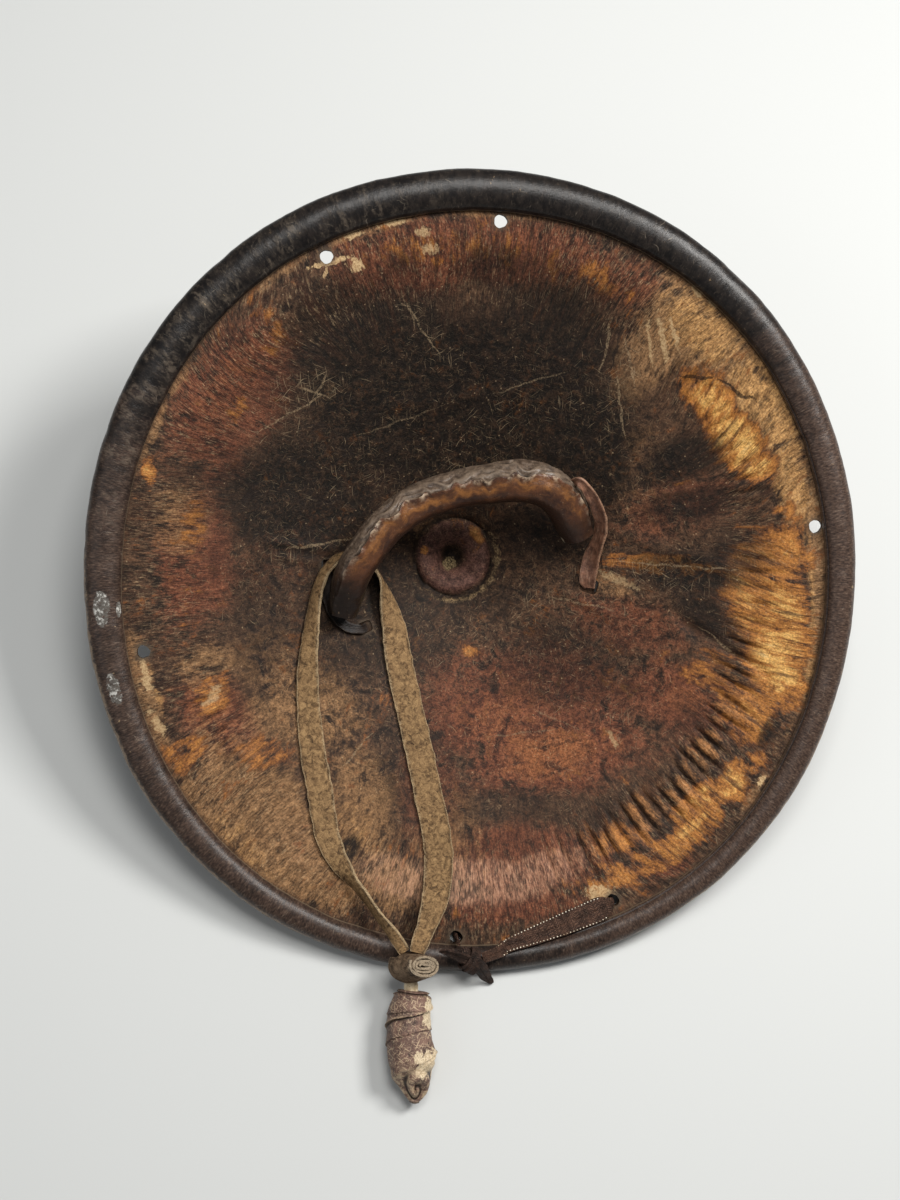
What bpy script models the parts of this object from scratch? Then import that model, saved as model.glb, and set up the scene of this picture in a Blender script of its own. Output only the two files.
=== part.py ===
"""A round hide shield, lying hollow side up.

The shield is one thick hide, pressed into a wide flaring cone with a small boss at its
centre. Its edge is rolled into a bead and bound with dark leather. Inside it has an arched
grip of rolled leather, held by thongs, a long flat strap looped round the foot of the grip,
a rolled knot and a toggle on the strap's end, and a tape tied through two of the lacing holes.

Everything is modelled in the shield's own frame: z runs along its axis from the tip of the
boss outside, +y to the top edge and +x to the right, seen from the hollow side. The frame is
then tipped about x, so that the shield rests on the tip and on the lower edge of its bead.
"""

import math

import bmesh
import bpy
import numpy as np
from mathutils import Matrix, Vector

MM = 0.001

# ---- driving dimensions, in millimetres ----
HALF_WIDTH = 273.6        # centre to the outside of the bead, along x
HALF_HEIGHT = 284.5       # the same along y
WOBBLE = 1.2              # how far the edge strays from a true oval
WOBBLE_PHASE = 2.97       # in radians
HOLLOW = 112.0            # crest of the bead down to the inside of the hide at the centre
CREST = 122.0             # height of the bead's crest above the tip outside
HIDE = 5.0                # thickness of the hide
SLOPE = 1.1               # how much more that is, measured upright through the slope
FLARE = 1.35              # power of the flaring cone, 1 for a straight one
SHOULDER = 4.0            # extra step in the band of crimps
BEAD_RISE = 9.0           # half height of the bound bead
BEAD_WIDTH = 23.8         # mean width of the bound bead
BEAD_UNEVEN = 5.5         # how much wider it is at the top left, and narrower opposite
BEAD_WIDEST = 120.0       # direction of its widest place, in degrees
BINDING = 2.0             # thickness of the binding's leather
GAP = 0.35                # air between two pieces that touch
LIP_RISE = 0.9            # step of the hide where the binding's edge lies on it

TIP_RADIUS = 26.0         # ball of the boss outside, which the shield rests on
REST_FLAT = 1.2           # depth worn off the tip and the bead where they touch the ground

BOSS_AT = (-9.5, 9.0)     # the boss inside, a little off the middle of the oval
TIP_AT = (-3.0, 3.0)      # the ball outside
BOSS_PIT = 6.0            # radius of the pit in the middle of the boss
BOSS_CREST = 17.0         # radius of its ring
BOSS_GROOVE = 28.0        # radius of the groove round it
BOSS_RISE = 6.5           # height of the ring

HOLE_RADIUS = 4.6         # lacing holes
FREE_HOLES = [(-102, 223), (19, 248), (244, 35), (-232, -52)]
TIED_HOLES = [(101, -234), (-12, -259)]

CRIMP_IN, CRIMP_OUT = 0.77, 0.93    # the band of crimps, as a share of the way to the seam
# sectors of edge, in degrees: start, end, facets in it, height of its crimps
SECTORS = [(-88, 2, 64, 2.1), (2, 14, 4, 0), (14, 52, 28, 1.5), (52, 196, 36, 0),
           (196, 236, 28, 1.2), (236, 272, 8, 0)]

SLIT_LENGTH = 11.0        # the slits that hold the thongs' ends
SLIT_DEPTH = 4.0
# x, y, direction in degrees and width of each slit
SLITS = [(-103.2, 4, 95, 8.6), (-76, -41.4, 20, 8.6), (89.4, -11, 72, 12.5)]

GRIP_LAP = 1.6            # how far the lapped edge of the rolled leather stands up
STRAP_THICKNESS = 2.2
THONG_THICKNESS = 2.4
TAPE_THICKNESS = 2.4

BROWN = (0.115, 0.042, 0.022)
NEAR_BLACK = (0.018, 0.012, 0.010)
RED_BROWN = (0.135, 0.050, 0.028)
DARK_BROWN = (0.035, 0.020, 0.014)
SUEDE = (0.200, 0.130, 0.058)
CREAM = (0.560, 0.450, 0.300)
PURPLE_BROWN = (0.110, 0.050, 0.042)
TAPE_BROWN = (0.075, 0.035, 0.022)


# ---- the form of the shield: every height in one place ----

def edge_radius(angle):
    """Centre to the outside of the bead, in the direction of the angle."""
    across = HALF_HEIGHT * math.cos(angle)
    upright = HALF_WIDTH * math.sin(angle)
    oval = HALF_WIDTH * HALF_HEIGHT / math.hypot(across, upright)
    return oval + WOBBLE * math.cos(4 * angle - WOBBLE_PHASE)


def bead_width(angle):
    return BEAD_WIDTH + BEAD_UNEVEN * math.cos(angle - math.radians(BEAD_WIDEST))


def seam_radius(angle):
    """Centre to the inner edge of the binding."""
    return edge_radius(angle) - bead_width(angle)


def smooth(low, high, value):
    x = min(max((value - low) / (high - low), 0.0), 1.0)
    return x * x * (3 - 2 * x)


SEAM_DROP = BEAD_RISE + 2.0          # the hide at the seam, below the crest of the bead


def cone_height(share):
    """The hide's inner side, at a share of the way from the centre to the seam."""
    deep = HOLLOW - SEAM_DROP - SHOULDER
    step = SHOULDER * (1 - smooth(CRIMP_IN, CRIMP_OUT, share))
    return CREST - SEAM_DROP - deep * (1 - min(share, 1.0)) ** FLARE - step


def share_at(x, y):
    """How far a point of the hollow lies on the way from the off-centre boss to the seam."""
    share = math.hypot(x, y) / seam_radius(math.atan2(y, x))
    for _ in range(12):
        lean = max(1 - share, 0.0)
        px, py = x - BOSS_AT[0] * lean, y - BOSS_AT[1] * lean
        share = math.hypot(px, py) / seam_radius(math.atan2(py, px))
    return share


def inner_height(x, y):
    """The highest hide or binding under a point of the hollow."""
    radius = math.hypot(x, y)
    angle = math.atan2(y, x)
    seam = seam_radius(angle)
    if radius <= seam:
        return cone_height(share_at(x, y))
    half = bead_width(angle) / 2
    across = min(abs(radius - seam - half) / half, 1.0)
    return CREST - BEAD_RISE + BEAD_RISE * math.sqrt(1 - across * across)


def inner_normal(x, y, step=6.0):
    """The hide's normal, smoothed over a few millimetres."""
    dx = (inner_height(x + step, y) - inner_height(x - step, y)) / (2 * step)
    dy = (inner_height(x, y + step) - inner_height(x, y - step)) / (2 * step)
    return Vector((-dx, -dy, 1)).normalized()


def rest_tilt():
    """The angle at which the tip and the bead's lower edge stand on one plane."""
    angle = math.radians(-90)
    half = bead_width(angle) / 2
    span = edge_radius(angle) - half + TIP_AT[1]
    rise = CREST - BEAD_RISE - TIP_RADIUS
    tilt = 0.0
    for _ in range(20):
        reach = math.hypot(half * math.sin(tilt), BEAD_RISE * math.cos(tilt))
        tilt = math.atan2(rise, span) + math.asin((TIP_RADIUS - reach) / math.hypot(span, rise))
    return tilt


TILT = rest_tilt()
BALL = Vector((*TIP_AT, TIP_RADIUS))
BALL_AT_REST = Vector((0, 0, TIP_RADIUS - REST_FLAT))       # the ball's middle, from the ground
FRAME_AT = BALL_AT_REST - Matrix.Rotation(TILT, 3, "X") @ BALL


def above_ground(y, height):
    """The z, in the shield's frame, of a point at y that is a height above the ground."""
    return (height - FRAME_AT.z - y * math.sin(TILT)) / math.cos(TILT)


# ---- making objects ----

def material(name, color, roughness=0.6):
    made = bpy.data.materials.new(name)
    made.use_nodes = True
    shader = made.node_tree.nodes["Principled BSDF"]
    shader.inputs["Base Color"].default_value = (*color, 1)
    shader.inputs["Roughness"].default_value = roughness
    shader.inputs["Metallic"].default_value = 0
    made.diffuse_color = (*color, 1)
    return made


def add_object(name, mesh_builder, finish, parent, smooth_angle=40):
    """Turns a bmesh in millimetres into an object in metres."""
    bmesh.ops.recalc_face_normals(mesh_builder, faces=mesh_builder.faces)
    bmesh.ops.scale(mesh_builder, vec=(MM, MM, MM), verts=mesh_builder.verts)
    mesh = bpy.data.meshes.new(name)
    mesh_builder.to_mesh(mesh)
    mesh_builder.free()
    mesh.materials.append(finish)
    mesh.shade_smooth()
    mesh.set_sharp_from_angle(angle=math.radians(smooth_angle))
    piece = bpy.data.objects.new(name, mesh)
    bpy.context.scene.collection.objects.link(piece)
    piece.parent = parent
    return piece


def cut(piece, cutter):
    change = piece.modifiers.new("cut_" + cutter.name, "BOOLEAN")
    change.operation = "DIFFERENCE"
    change.solver = "EXACT"
    change.object = cutter
    cutter.hide_render = True
    cutter.display_type = "WIRE"


def band(builder, first, second):
    """Faces between two rings, where one may have twice as many points as the other."""
    if len(first) == len(second):
        count = len(first)
        for i in range(count):
            j = (i + 1) % count
            builder.faces.new((first[i], first[j], second[j], second[i]))
        return
    few, many = (first, second) if len(first) < len(second) else (second, first)
    for i in range(len(few)):
        j = (i + 1) % len(few)
        a, b, c = many[2 * i], many[2 * i + 1], many[(2 * i + 2) % len(many)]
        builder.faces.new((few[i], a, b))
        builder.faces.new((few[i], b, few[j]))
        builder.faces.new((few[j], b, c))


def cap(builder, ring, point):
    middle = builder.verts.new(point)
    for i in range(len(ring)):
        builder.faces.new((ring[i], ring[(i + 1) % len(ring)], middle))


def edge_stations():
    """The angle and crimp of every facet of the edge, finer where it is crimped."""
    stations = []
    for start, end, count, height in SECTORS:
        for i in range(count):
            share = i / count
            swell = height * math.sin(math.pi * share) ** 0.5
            stations.append((math.radians(start + (end - start) * share), swell * (-1) ** i))
    return stations


STATIONS = edge_stations()


def ring_at(builder, every, radius_of, height_of, middle=(0.0, 0.0)):
    """A ring of points; the radius and height are functions of the angle and the crimp."""
    ring = []
    for angle, crimp in STATIONS[::every]:
        radius = radius_of(angle)
        x = middle[0] + radius * math.cos(angle)
        y = middle[1] + radius * math.sin(angle)
        ring.append(builder.verts.new((x, y, height_of(angle, crimp))))
    return ring


def round_ring(builder, radius, height, middle):
    """A level, round ring of few points, for the boss."""
    return ring_at(builder, 4, lambda angle: radius, lambda angle, crimp: height, middle)


def toward(middle, share):
    """The middle of a ring: off centre near the boss, true at the seam."""
    return (middle[0] * (1 - share), middle[1] * (1 - share))


# ---- the hide ----

def core_ring(builder, turn):
    """A ring on the rolled edge of the hide, at an angle round the bead's section."""
    turn = math.radians(turn)
    inset = BINDING + GAP

    def radius_of(angle):
        half = bead_width(angle) / 2
        return edge_radius(angle) - half + (half - inset) * math.cos(turn)

    height = CREST - BEAD_RISE + (BEAD_RISE - inset) * math.sin(turn)
    return ring_at(builder, 2, radius_of, lambda angle, crimp: height)


def inner_rings(builder):
    """The hollow side, from the pit of the boss out to the seam."""
    rings = []
    boss = [(BOSS_PIT * 0.6, -0.2), (BOSS_PIT * 1.5, 0.55), (BOSS_CREST, 1.0),
            (BOSS_GROOVE * 0.84, 0.55), (BOSS_GROOVE, -0.12), (BOSS_GROOVE + 6, 0.0)]
    for radius, share in boss:
        height = cone_height(radius / HALF_WIDTH) + BOSS_RISE * share
        rings.append(round_ring(builder, radius, height, toward(BOSS_AT, radius / HALF_WIDTH)))
    for share in (0.26, 0.42, 0.60, CRIMP_IN - 0.03):
        rings.append(share_ring(builder, 2, share, 0.0))
    for share, swell in ((0.79, 0.35), (0.84, 1.0), (0.89, 0.9), (0.925, 0.2)):
        rings.append(share_ring(builder, 1, share, swell))
    rings.append(share_ring(builder, 2, 0.965, 0.0))
    rings.append(share_ring(builder, 2, 1.0, 0.0))
    return rings


def share_ring(builder, every, share, swell):
    return ring_at(builder, every, lambda angle: seam_radius(angle) * share,
                   lambda angle, crimp: cone_height(share) + crimp * swell, toward(BOSS_AT, share))


def outer_rings(builder):
    """The outside, from the bead in to the tip of the boss."""
    rings = []
    for share in (0.97, 0.90, 0.77, 0.60, 0.42, 0.26):
        rings.append(ring_at(builder, 2, lambda angle, s=share: seam_radius(angle) * s,
                             lambda angle, crimp, s=share: cone_height(s) - HIDE * SLOPE,
                             toward(TIP_AT if share < 0.3 else BOSS_AT, share)))
    start = BOSS_GROOVE + 4
    rings.append(round_ring(builder, start, cone_height(start / HALF_WIDTH) - HIDE * SLOPE, TIP_AT))
    for turn in (68, 52, 36, 18):
        radius = TIP_RADIUS * math.sin(math.radians(turn))
        height = TIP_RADIUS - TIP_RADIUS * math.cos(math.radians(turn))
        rings.append(round_ring(builder, radius, height, TIP_AT))
    return rings


def make_hide(parent):
    builder = bmesh.new()
    inner = inner_rings(builder)
    lip = ring_at(builder, 2, lambda angle: seam_radius(angle) + BINDING,
                  lambda angle, crimp: CREST - SEAM_DROP + LIP_RISE)
    roll = [core_ring(builder, turn) for turn in (140, 70, -10, -90)]
    outer = outer_rings(builder)
    rings = inner + [lip] + roll + outer
    for first, second in zip(rings, rings[1:]):
        band(builder, first, second)
    cap(builder, inner[0], (*BOSS_AT, cone_height(0) - 0.5))
    cap(builder, outer[-1], (*TIP_AT, 0))
    return add_object("hide", builder, material("pressed_hide", BROWN, 0.55), parent)


def make_hole_cutter(name, x, y, parent):
    """A round punch, driven along the shield's axis."""
    builder = bmesh.new()
    bmesh.ops.create_cone(builder, cap_ends=True, segments=12, depth=40,
                          radius1=HOLE_RADIUS, radius2=HOLE_RADIUS)
    bmesh.ops.translate(builder, vec=(x, y, inner_height(x, y)), verts=builder.verts)
    return add_object(name, builder, material(name, NEAR_BLACK), parent)


def make_slit_cutter(name, x, y, direction, width, parent):
    """A slit for a thong's end, cut along a direction in degrees and most of the hide deep."""
    builder = bmesh.new()
    bmesh.ops.create_cube(builder, size=1)
    bmesh.ops.scale(builder, vec=(SLIT_LENGTH, width, 2 * SLIT_DEPTH), verts=builder.verts)
    bmesh.ops.rotate(builder, matrix=Matrix.Rotation(math.radians(direction), 3, "Z"), verts=builder.verts)
    bmesh.ops.translate(builder, vec=(x, y, inner_height(x, y)), verts=builder.verts)
    return add_object(name, builder, material(name, NEAR_BLACK), parent)


# ---- the binding ----

def make_binding(parent):
    """A skin of leather round the bead, from the seam inside over to the outside."""
    builder = bmesh.new()

    def skin_ring(turn, inset):
        turn = math.radians(turn)

        def radius_of(angle):
            half = bead_width(angle) / 2
            return edge_radius(angle) - half + (half - inset) * math.cos(turn)

        height = CREST - BEAD_RISE + (BEAD_RISE - inset) * math.sin(turn)
        return ring_at(builder, 2, radius_of, lambda angle, crimp: height)

    outside = [skin_ring(turn, 0.0) for turn in (186, 152, 118, 84, 48, 10, -35, -90)]
    inside = [skin_ring(turn, BINDING) for turn in (-90, -10, 70, 140, 178)]
    rings = outside + inside
    for first, second in zip(rings, rings[1:] + rings[:1]):
        band(builder, first, second)
    return add_object("rim_binding", builder, material("binding_leather", NEAR_BLACK, 0.42), parent)


# ---- sweeping a section along a route ----

def smooth_route(points, samples):
    """Points of any width, read from a smooth curve through the given ones."""
    points = np.array(points, dtype=float)
    padded = np.vstack([2 * points[0] - points[1], points, 2 * points[-1] - points[-2]])
    result = []
    spans = len(points) - 1
    for k in range(samples + 1):
        place = spans * k / samples
        i = min(int(place), spans - 1)
        t = place - i
        p0, p1, p2, p3 = padded[i:i + 4]
        result.append(0.5 * (2 * p1 + (p2 - p0) * t + (2 * p0 - 5 * p1 + 4 * p2 - p3) * t * t
                             + (3 * p1 - p0 - 3 * p2 + p3) * t ** 3))
    return result


def tangents(places):
    result = []
    for i in range(len(places)):
        step = places[min(i + 1, len(places) - 1)] - places[max(i - 1, 0)]
        result.append(step.normalized())
    return result


def sweep(builder, sections):
    """Skins a list of sections, each a list of points, and closes both ends."""
    rings = [[builder.verts.new(point) for point in section] for section in sections]
    for first, second in zip(rings, rings[1:]):
        band(builder, first, second)
    builder.faces.new(rings[0])
    builder.faces.new(rings[-1][::-1])


def ribbon_sections(places, sides, widths, thickness):
    """Flat sections: sides gives the direction of the width at each place."""
    sections = []
    for place, along, side, width in zip(places, tangents(places), sides, widths):
        side = (side - along * side.dot(along)).normalized()
        up = along.cross(side).normalized() * (thickness / 2)
        half = side * (width / 2)
        sections.append([place + half + up, place - half + up, place - half - up, place + half - up])
    return sections


def lift_direction(x, y, lift, plumb):
    """The way that a lying strip is lifted off the hide."""
    share = min(1.0, max(0.0, (lift - 3) / 4)) if plumb else 0.0
    return inner_normal(x, y).lerp(Vector((0, 0, 1)), share).normalized()


def lying_ribbon(builder, route, samples, thickness, plumb=False):
    """A flat strip over the hide. The route gives x, y, the air under it, its width and twist.

    The air is measured square to the hide or, where plumb is set and the strip leaves the
    hide, along the shield's axis, with the bead left out of account.
    """
    places, sides, widths = [], [], []
    rows = smooth_route(route, samples)
    for x, y, lift, width, twist in rows:
        stand = thickness / 2 + width / 2 * abs(math.sin(math.radians(twist)))
        height = inner_height(x, y)
        if plumb:
            height = min(height, CREST - SEAM_DROP)
        foot = Vector((x, y, height))
        places.append(foot + lift_direction(x, y, lift, plumb) * (lift + stand))
    for (x, y, lift, width, twist), along in zip(rows, tangents(places)):
        normal = lift_direction(x, y, lift, plumb)
        across = along.cross(normal).normalized()
        lean = math.radians(twist)
        sides.append(across * math.cos(lean) + normal * math.sin(lean))
        widths.append(width)
    sweep(builder, ribbon_sections(places, sides, widths, thickness))


# ---- the grip ----

# x, y and height over the hide of the middle of the grip, from its left foot to its right end,
# and its radius there
GRIP_ROUTE = [(-92.5, -28, 15, 11.2), (-89.5, -14, 23, 12.9), (-84, 3, 33, 13.2), (-73, 20, 41, 13.3),
              (-57, 39, 46, 13.4), (-36.5, 52.5, 48, 13.4), (-13, 61, 49, 13.6), (12, 65.5, 48, 14.5),
              (35, 67.5, 45, 15.2), (54, 63, 40, 15.0), (67, 52, 31, 14.6), (74.5, 38, 22, 13.8),
              (79, 28, 16, 11.8)]


def make_grip(parent):
    """A tube of rolled leather, whose outer edge laps over in a wavy line along the top."""
    builder = bmesh.new()
    rows = smooth_route(GRIP_ROUTE, 26)
    places = [Vector((x, y, inner_height(x, y) + lift)) for x, y, lift, radius in rows]
    sections = []
    count = len(places)
    for i, (place, along) in enumerate(zip(places, tangents(places))):
        share = i / (count - 1)
        radius = rows[i][3]
        outward = Vector((0, 0, 1))
        side = along.cross(outward).normalized()
        outward = side.cross(along).normalized()
        seam = math.radians(128 + 7 * math.sin(26 * share))
        section = []
        for k in range(9):
            turn = seam - math.radians(4) - 2 * math.pi * k / 9
            lap = GRIP_LAP * (0.5 - k / 9)
            spoke = side * math.cos(turn) + outward * math.sin(turn)
            section.append(place + spoke * (radius + lap))
        turn = seam + math.radians(6)
        spoke = side * math.cos(turn) + outward * math.sin(turn)
        section.append(place + spoke * (radius - GRIP_LAP * 0.6))
        sections.append(section)
    sweep(builder, sections)
    return add_object("grip", builder, material("grip_leather", RED_BROWN, 0.5), parent)


def make_left_thong(parent):
    """A dark thong on the hide, round the foot of the grip, with both ends in slits."""
    builder = bmesh.new()
    route = [(-103, 5, -2.6, 6, 0), (-104, -1, 0.8, 7, 0), (-105, -14, 0.8, 8, 0), (-101, -29, 0.8, 8, 0),
             (-91, -40, 0.8, 8, 0), (-80, -43, 0.8, 7, 0), (-75, -41, -2.6, 6, 0)]
    lying_ribbon(builder, route, 20, THONG_THICKNESS)
    return add_object("grip_thong_left", builder, material("dark_thong", DARK_BROWN, 0.6), parent)


def make_right_thong(parent):
    """A tongue of red-brown leather from the top of the grip's end down to a slit in the hide."""
    builder = bmesh.new()
    route = [(87, 75.9, 32.6, 7, -5), (95.5, 63.6, 26.8, 8, 0), (101.8, 49, 20, 9, -8),
             (103.2, 36.3, 13.2, 10, -18), (100.2, 23.1, 6.2, 11, -28), (93.3, 10.3, 1.4, 13.5, -20),
             (89.6, -4, 1.1, 12.2, 0), (89, -12, -2.6, 9, 0)]
    lying_ribbon(builder, route, 18, THONG_THICKNESS)
    return add_object("grip_thong_right", builder, material("red_thong", RED_BROWN, 0.5), parent)


# ---- the strap, its knot and the toggle ----

# x, y, air under it, width and twist, from the knot up the left side and down the right
STRAP_ROUTE = [(-51.3, -259.8, 21.9, 9, 0), (-55.5, -254.8, 16.5, 9.5, 20), (-61, -248, 11.4, 11, 40),
               (-72, -235, 6.0, 12, 60), (-86, -220, 1.6, 12, 60), (-97, -204, 1.2, 15, 20),
               (-105, -184, 1.4, 18, 0),
               (-109, -158, 1.4, 19, 0), (-114, -132, 1.4, 19, 0), (-117, -107, 1.4, 18, 0),
               (-119, -78, 1.4, 16, 12), (-119, -55, 1.2, 14, 40), (-117, -32, 1.2, 13, 65),
               (-114, -13, 1.2, 12, 75), (-108, 2, 1.2, 12, 80), (-96, 13, 1.2, 12, 80),
               (-80, 12, 1.2, 12, 80), (-69, -3, 1.2, 13, 65), (-62, -22, 1.2, 17, 30),
               (-55, -46, 1.4, 20, 5), (-50, -74, 1.5, 21, 0), (-43, -105, 1.5, 21, 0),
               (-36, -136, 1.4, 21, 0), (-30, -165, 1.4, 21, 0), (-25, -190, 1.4, 21, 0),
               (-24, -211, 2.2, 21, 0), (-28, -231, 12.4, 19, 0), (-33.5, -245, 16.4, 14, 0),
               (-37, -252.5, 21.4, 13, 0), (-39.8, -258.6, 25.2, 12, 0)]


def make_strap(parent):
    builder = bmesh.new()
    lying_ribbon(builder, STRAP_ROUTE, 56, STRAP_THICKNESS, plumb=True)
    return add_object("strap", builder, material("suede_strap", SUEDE, 0.85), parent)


def disc_sections(places, radii, sides, wrap=0.0, turns=0.0, flat=1.0):
    """Round sections along a route; wrap raises one lapped edge that winds round it."""
    sections = []
    for i, (place, along, radius) in enumerate(zip(places, tangents(places), radii)):
        side = along.cross(Vector((0, 0, 1))).normalized()
        up = side.cross(along)
        phase = turns * i / (len(places) - 1)
        section = []
        for k in range(sides):
            turn = 2 * math.pi * k / sides
            lap = 1 + wrap * ((k / sides + phase) % 1.0 - 0.5)
            spoke = side * math.cos(turn) + up * math.sin(turn) * flat
            section.append(place + spoke * (radius * lap))
        sections.append(section)
    return sections


KNOT_WIDE, KNOT_HIGH = 14.8, 10.8    # the oval button's half sizes
KNOT_STANDS = 18.5                   # height of its middle over the crest of the bead


def make_knot(parent):
    """The strap's end rolled up into an oval button, which stands on the bead."""
    builder = bmesh.new()
    middle = Vector((-41.2, -271.3, CREST + KNOT_STANDS))
    along = Vector((0.48, 0.25, 0.84)).normalized()
    wide = along.cross(Vector((0, 1, 0))).normalized()
    high = wide.cross(along).normalized()
    sections = []
    for offset, size in ((-12, 0.78), (-10.5, 1.04), (-3, 1.06), (10, 0.97), (12, 0.85)):
        section = []
        for k in range(14):
            turn = 2 * math.pi * k / 14
            spiral = 1 + 0.10 * (k / 14 - 0.5)
            spoke = wide * (KNOT_WIDE * math.cos(turn)) + high * (KNOT_HIGH * math.sin(turn))
            section.append(middle + along * offset + spoke * (size * spiral))
        sections.append(section)
    sweep(builder, sections)
    return add_object("strap_knot", builder, material("rolled_leather", SUEDE, 0.7), parent)


TOGGLE_X = -45
# y, height over the ground of its middle, and radius
TOGGLE_ROUTE = [(-290.8, 21.5, 10.0), (-293, 21.2, 12.6), (-300, 20.2, 14.4), (-308, 19.2, 15.4),
                (-316, 18.6, 16.2), (-327, 18.2, 17.0), (-338, 17.6, 16.4), (-347, 15.6, 13.4),
                (-355, 13.2, 9.6), (-362, 11.0, 6.0), (-366, 10.0, 3.6)]


def make_neck(parent):
    builder = bmesh.new()
    places = [Vector((TOGGLE_X, y, above_ground(y, 21.5))) for y in (-286.0, -287.4, -288.7)]
    sweep(builder, disc_sections(places, (4.4, 4.6, 4.8), 8))
    return add_object("toggle_neck", builder, material("rawhide_core", CREAM, 0.7), parent)


def make_toggle(parent):
    """A strip of rawhide wound into a pear shape, lying on the ground."""
    builder = bmesh.new()
    rows = smooth_route(TOGGLE_ROUTE, 18)
    places = []
    for y, height, radius in rows:
        x = TOGGLE_X + 2 * math.sin((y + 300) / 12)
        places.append(Vector((x, y, above_ground(y, height))))
    sweep(builder, disc_sections(places, [row[2] for row in rows], 12, wrap=0.09, turns=2.2))
    return add_object("toggle", builder, material("wound_rawhide", PURPLE_BROWN, 0.6), parent)


# ---- the tie ----

# x, y, height over the hide, width and lean, from the knot out through one hole and back
# in through the other
TIE_ROUTE = [(12, -265.5, 12.0, 8, 25), (30, -260, 9.0, 12, 40), (52, -254, 6.8, 14, 35),
             (74, -245.5, 5.0, 14, 25), (90, -238.5, 4.4, 10, 10), (99, -234.6, 1.8, 5, 0),
             (100.8, -234.4, -3.0, 5, 0), (100.3, -234.6, -8.2, 5, 0), (90, -236.8, -9.0, 7, 0),
             (60, -243, -8.4, 9, 0), (20, -252, -8.4, 9, 0), (-2, -256.8, -9.0, 7, 0),
             (-11.5, -259, -8.2, 5, 0), (-12.3, -259, -3.0, 5, 0), (-12.2, -259, 4.0, 5, 0),
             (-11, -260.5, 10, 5, 0)]


def make_tie(parent):
    """One tape: along the bead, out through a hole, back in through the other."""
    builder = bmesh.new()
    rows = smooth_route(TIE_ROUTE, 60)
    places = [Vector((x, y, inner_height(x, y) + lift)) for x, y, lift, width, lean in rows]
    (right_x, right_y), (left_x, left_y) = TIED_HOLES
    side = Vector((right_y - left_y, left_x - right_x, 0)).normalized()
    leans = [math.radians(row[4]) for row in rows]
    sides = [side * math.cos(lean) + Vector((0, 0, math.sin(lean))) for lean in leans]
    sections = ribbon_sections(places, sides, [row[3] for row in rows], TAPE_THICKNESS)
    sweep(builder, sections)
    return add_object("rim_tie", builder, material("woven_tape", TAPE_BROWN, 0.8), parent)


def make_tie_knot(parent):
    """The overhand knot of the tape, with its two short tails over the bead."""
    builder = bmesh.new()
    rows = ((-15, -266, 2.5), (-9, -270, 5.2), (-3, -273, 6.6),
            (3, -276, 5.6), (7, -283, 2.5), (9, -290, -3.5))
    places = [Vector((x, y, CREST + z)) for x, y, z in rows]
    sweep(builder, disc_sections(places, (3.0, 6.2, 7.4, 6.0, 3.6, 2.4), 10, flat=0.8))
    return add_object("rim_tie_knot", builder, material("knotted_tape", TAPE_BROWN, 0.8), parent)


# ---- putting the shield on the ground ----

def make_frame():
    frame = bpy.data.objects.new("shield_frame", None)
    bpy.context.scene.collection.objects.link(frame)
    frame.rotation_euler = (TILT, 0, 0)
    frame.location = FRAME_AT * MM
    return frame


def make_ground_cutter():
    """A block below the ground, which wears the flat spots."""
    builder = bmesh.new()
    bmesh.ops.create_cube(builder, size=1)
    bmesh.ops.scale(builder, vec=(900, 900, 40), verts=builder.verts)
    bmesh.ops.translate(builder, vec=(0, -100, -20), verts=builder.verts)
    return add_object("ground_cutter", builder, material("ground_cutter", NEAR_BLACK), None)


def main():
    for item in list(bpy.data.objects):
        bpy.data.objects.remove(item, do_unlink=True)
    frame = make_frame()
    hide = make_hide(frame)
    binding = make_binding(frame)
    ground = make_ground_cutter()
    cut(hide, ground)
    cut(binding, ground)
    for number, (x, y) in enumerate(FREE_HOLES + TIED_HOLES, start=1):
        cut(hide, make_hole_cutter(f"hole_cutter_{number}", x, y, frame))
    for number, (x, y, direction, width) in enumerate(SLITS, start=1):
        cut(hide, make_slit_cutter(f"slit_cutter_{number}", x, y, direction, width, frame))
    make_grip(frame)
    make_left_thong(frame)
    make_right_thong(frame)
    make_strap(frame)
    make_knot(frame)
    make_neck(frame)
    make_toggle(frame)
    make_tie(frame)
    make_tie_knot(frame)


main()
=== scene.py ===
# %% [markdown]
# # Dressing a hide shield
#
# The measured solids of the shield are loaded first, and they never move. Each one is then
# given the skin that the real thing has: finer meshes that keep to the solids' form, and
# finishes mixed from noise, which look right from every side.

# %% Load the solids
import math

import bmesh
import bpy
import numpy as np
from mathutils import Matrix, Vector


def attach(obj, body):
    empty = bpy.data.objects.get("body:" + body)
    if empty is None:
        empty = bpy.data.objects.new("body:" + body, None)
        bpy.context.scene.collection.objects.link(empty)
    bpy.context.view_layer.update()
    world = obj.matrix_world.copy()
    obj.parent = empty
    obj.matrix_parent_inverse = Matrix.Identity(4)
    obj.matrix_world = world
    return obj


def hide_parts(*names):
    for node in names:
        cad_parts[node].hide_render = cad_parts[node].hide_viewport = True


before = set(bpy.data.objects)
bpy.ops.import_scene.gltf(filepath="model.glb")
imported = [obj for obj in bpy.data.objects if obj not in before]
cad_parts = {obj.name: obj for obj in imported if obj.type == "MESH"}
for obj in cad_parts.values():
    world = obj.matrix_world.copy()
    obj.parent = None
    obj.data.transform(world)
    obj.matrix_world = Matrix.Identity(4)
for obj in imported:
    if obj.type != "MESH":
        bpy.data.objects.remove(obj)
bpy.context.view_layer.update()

print("solids:", ", ".join(sorted(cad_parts)))

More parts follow.
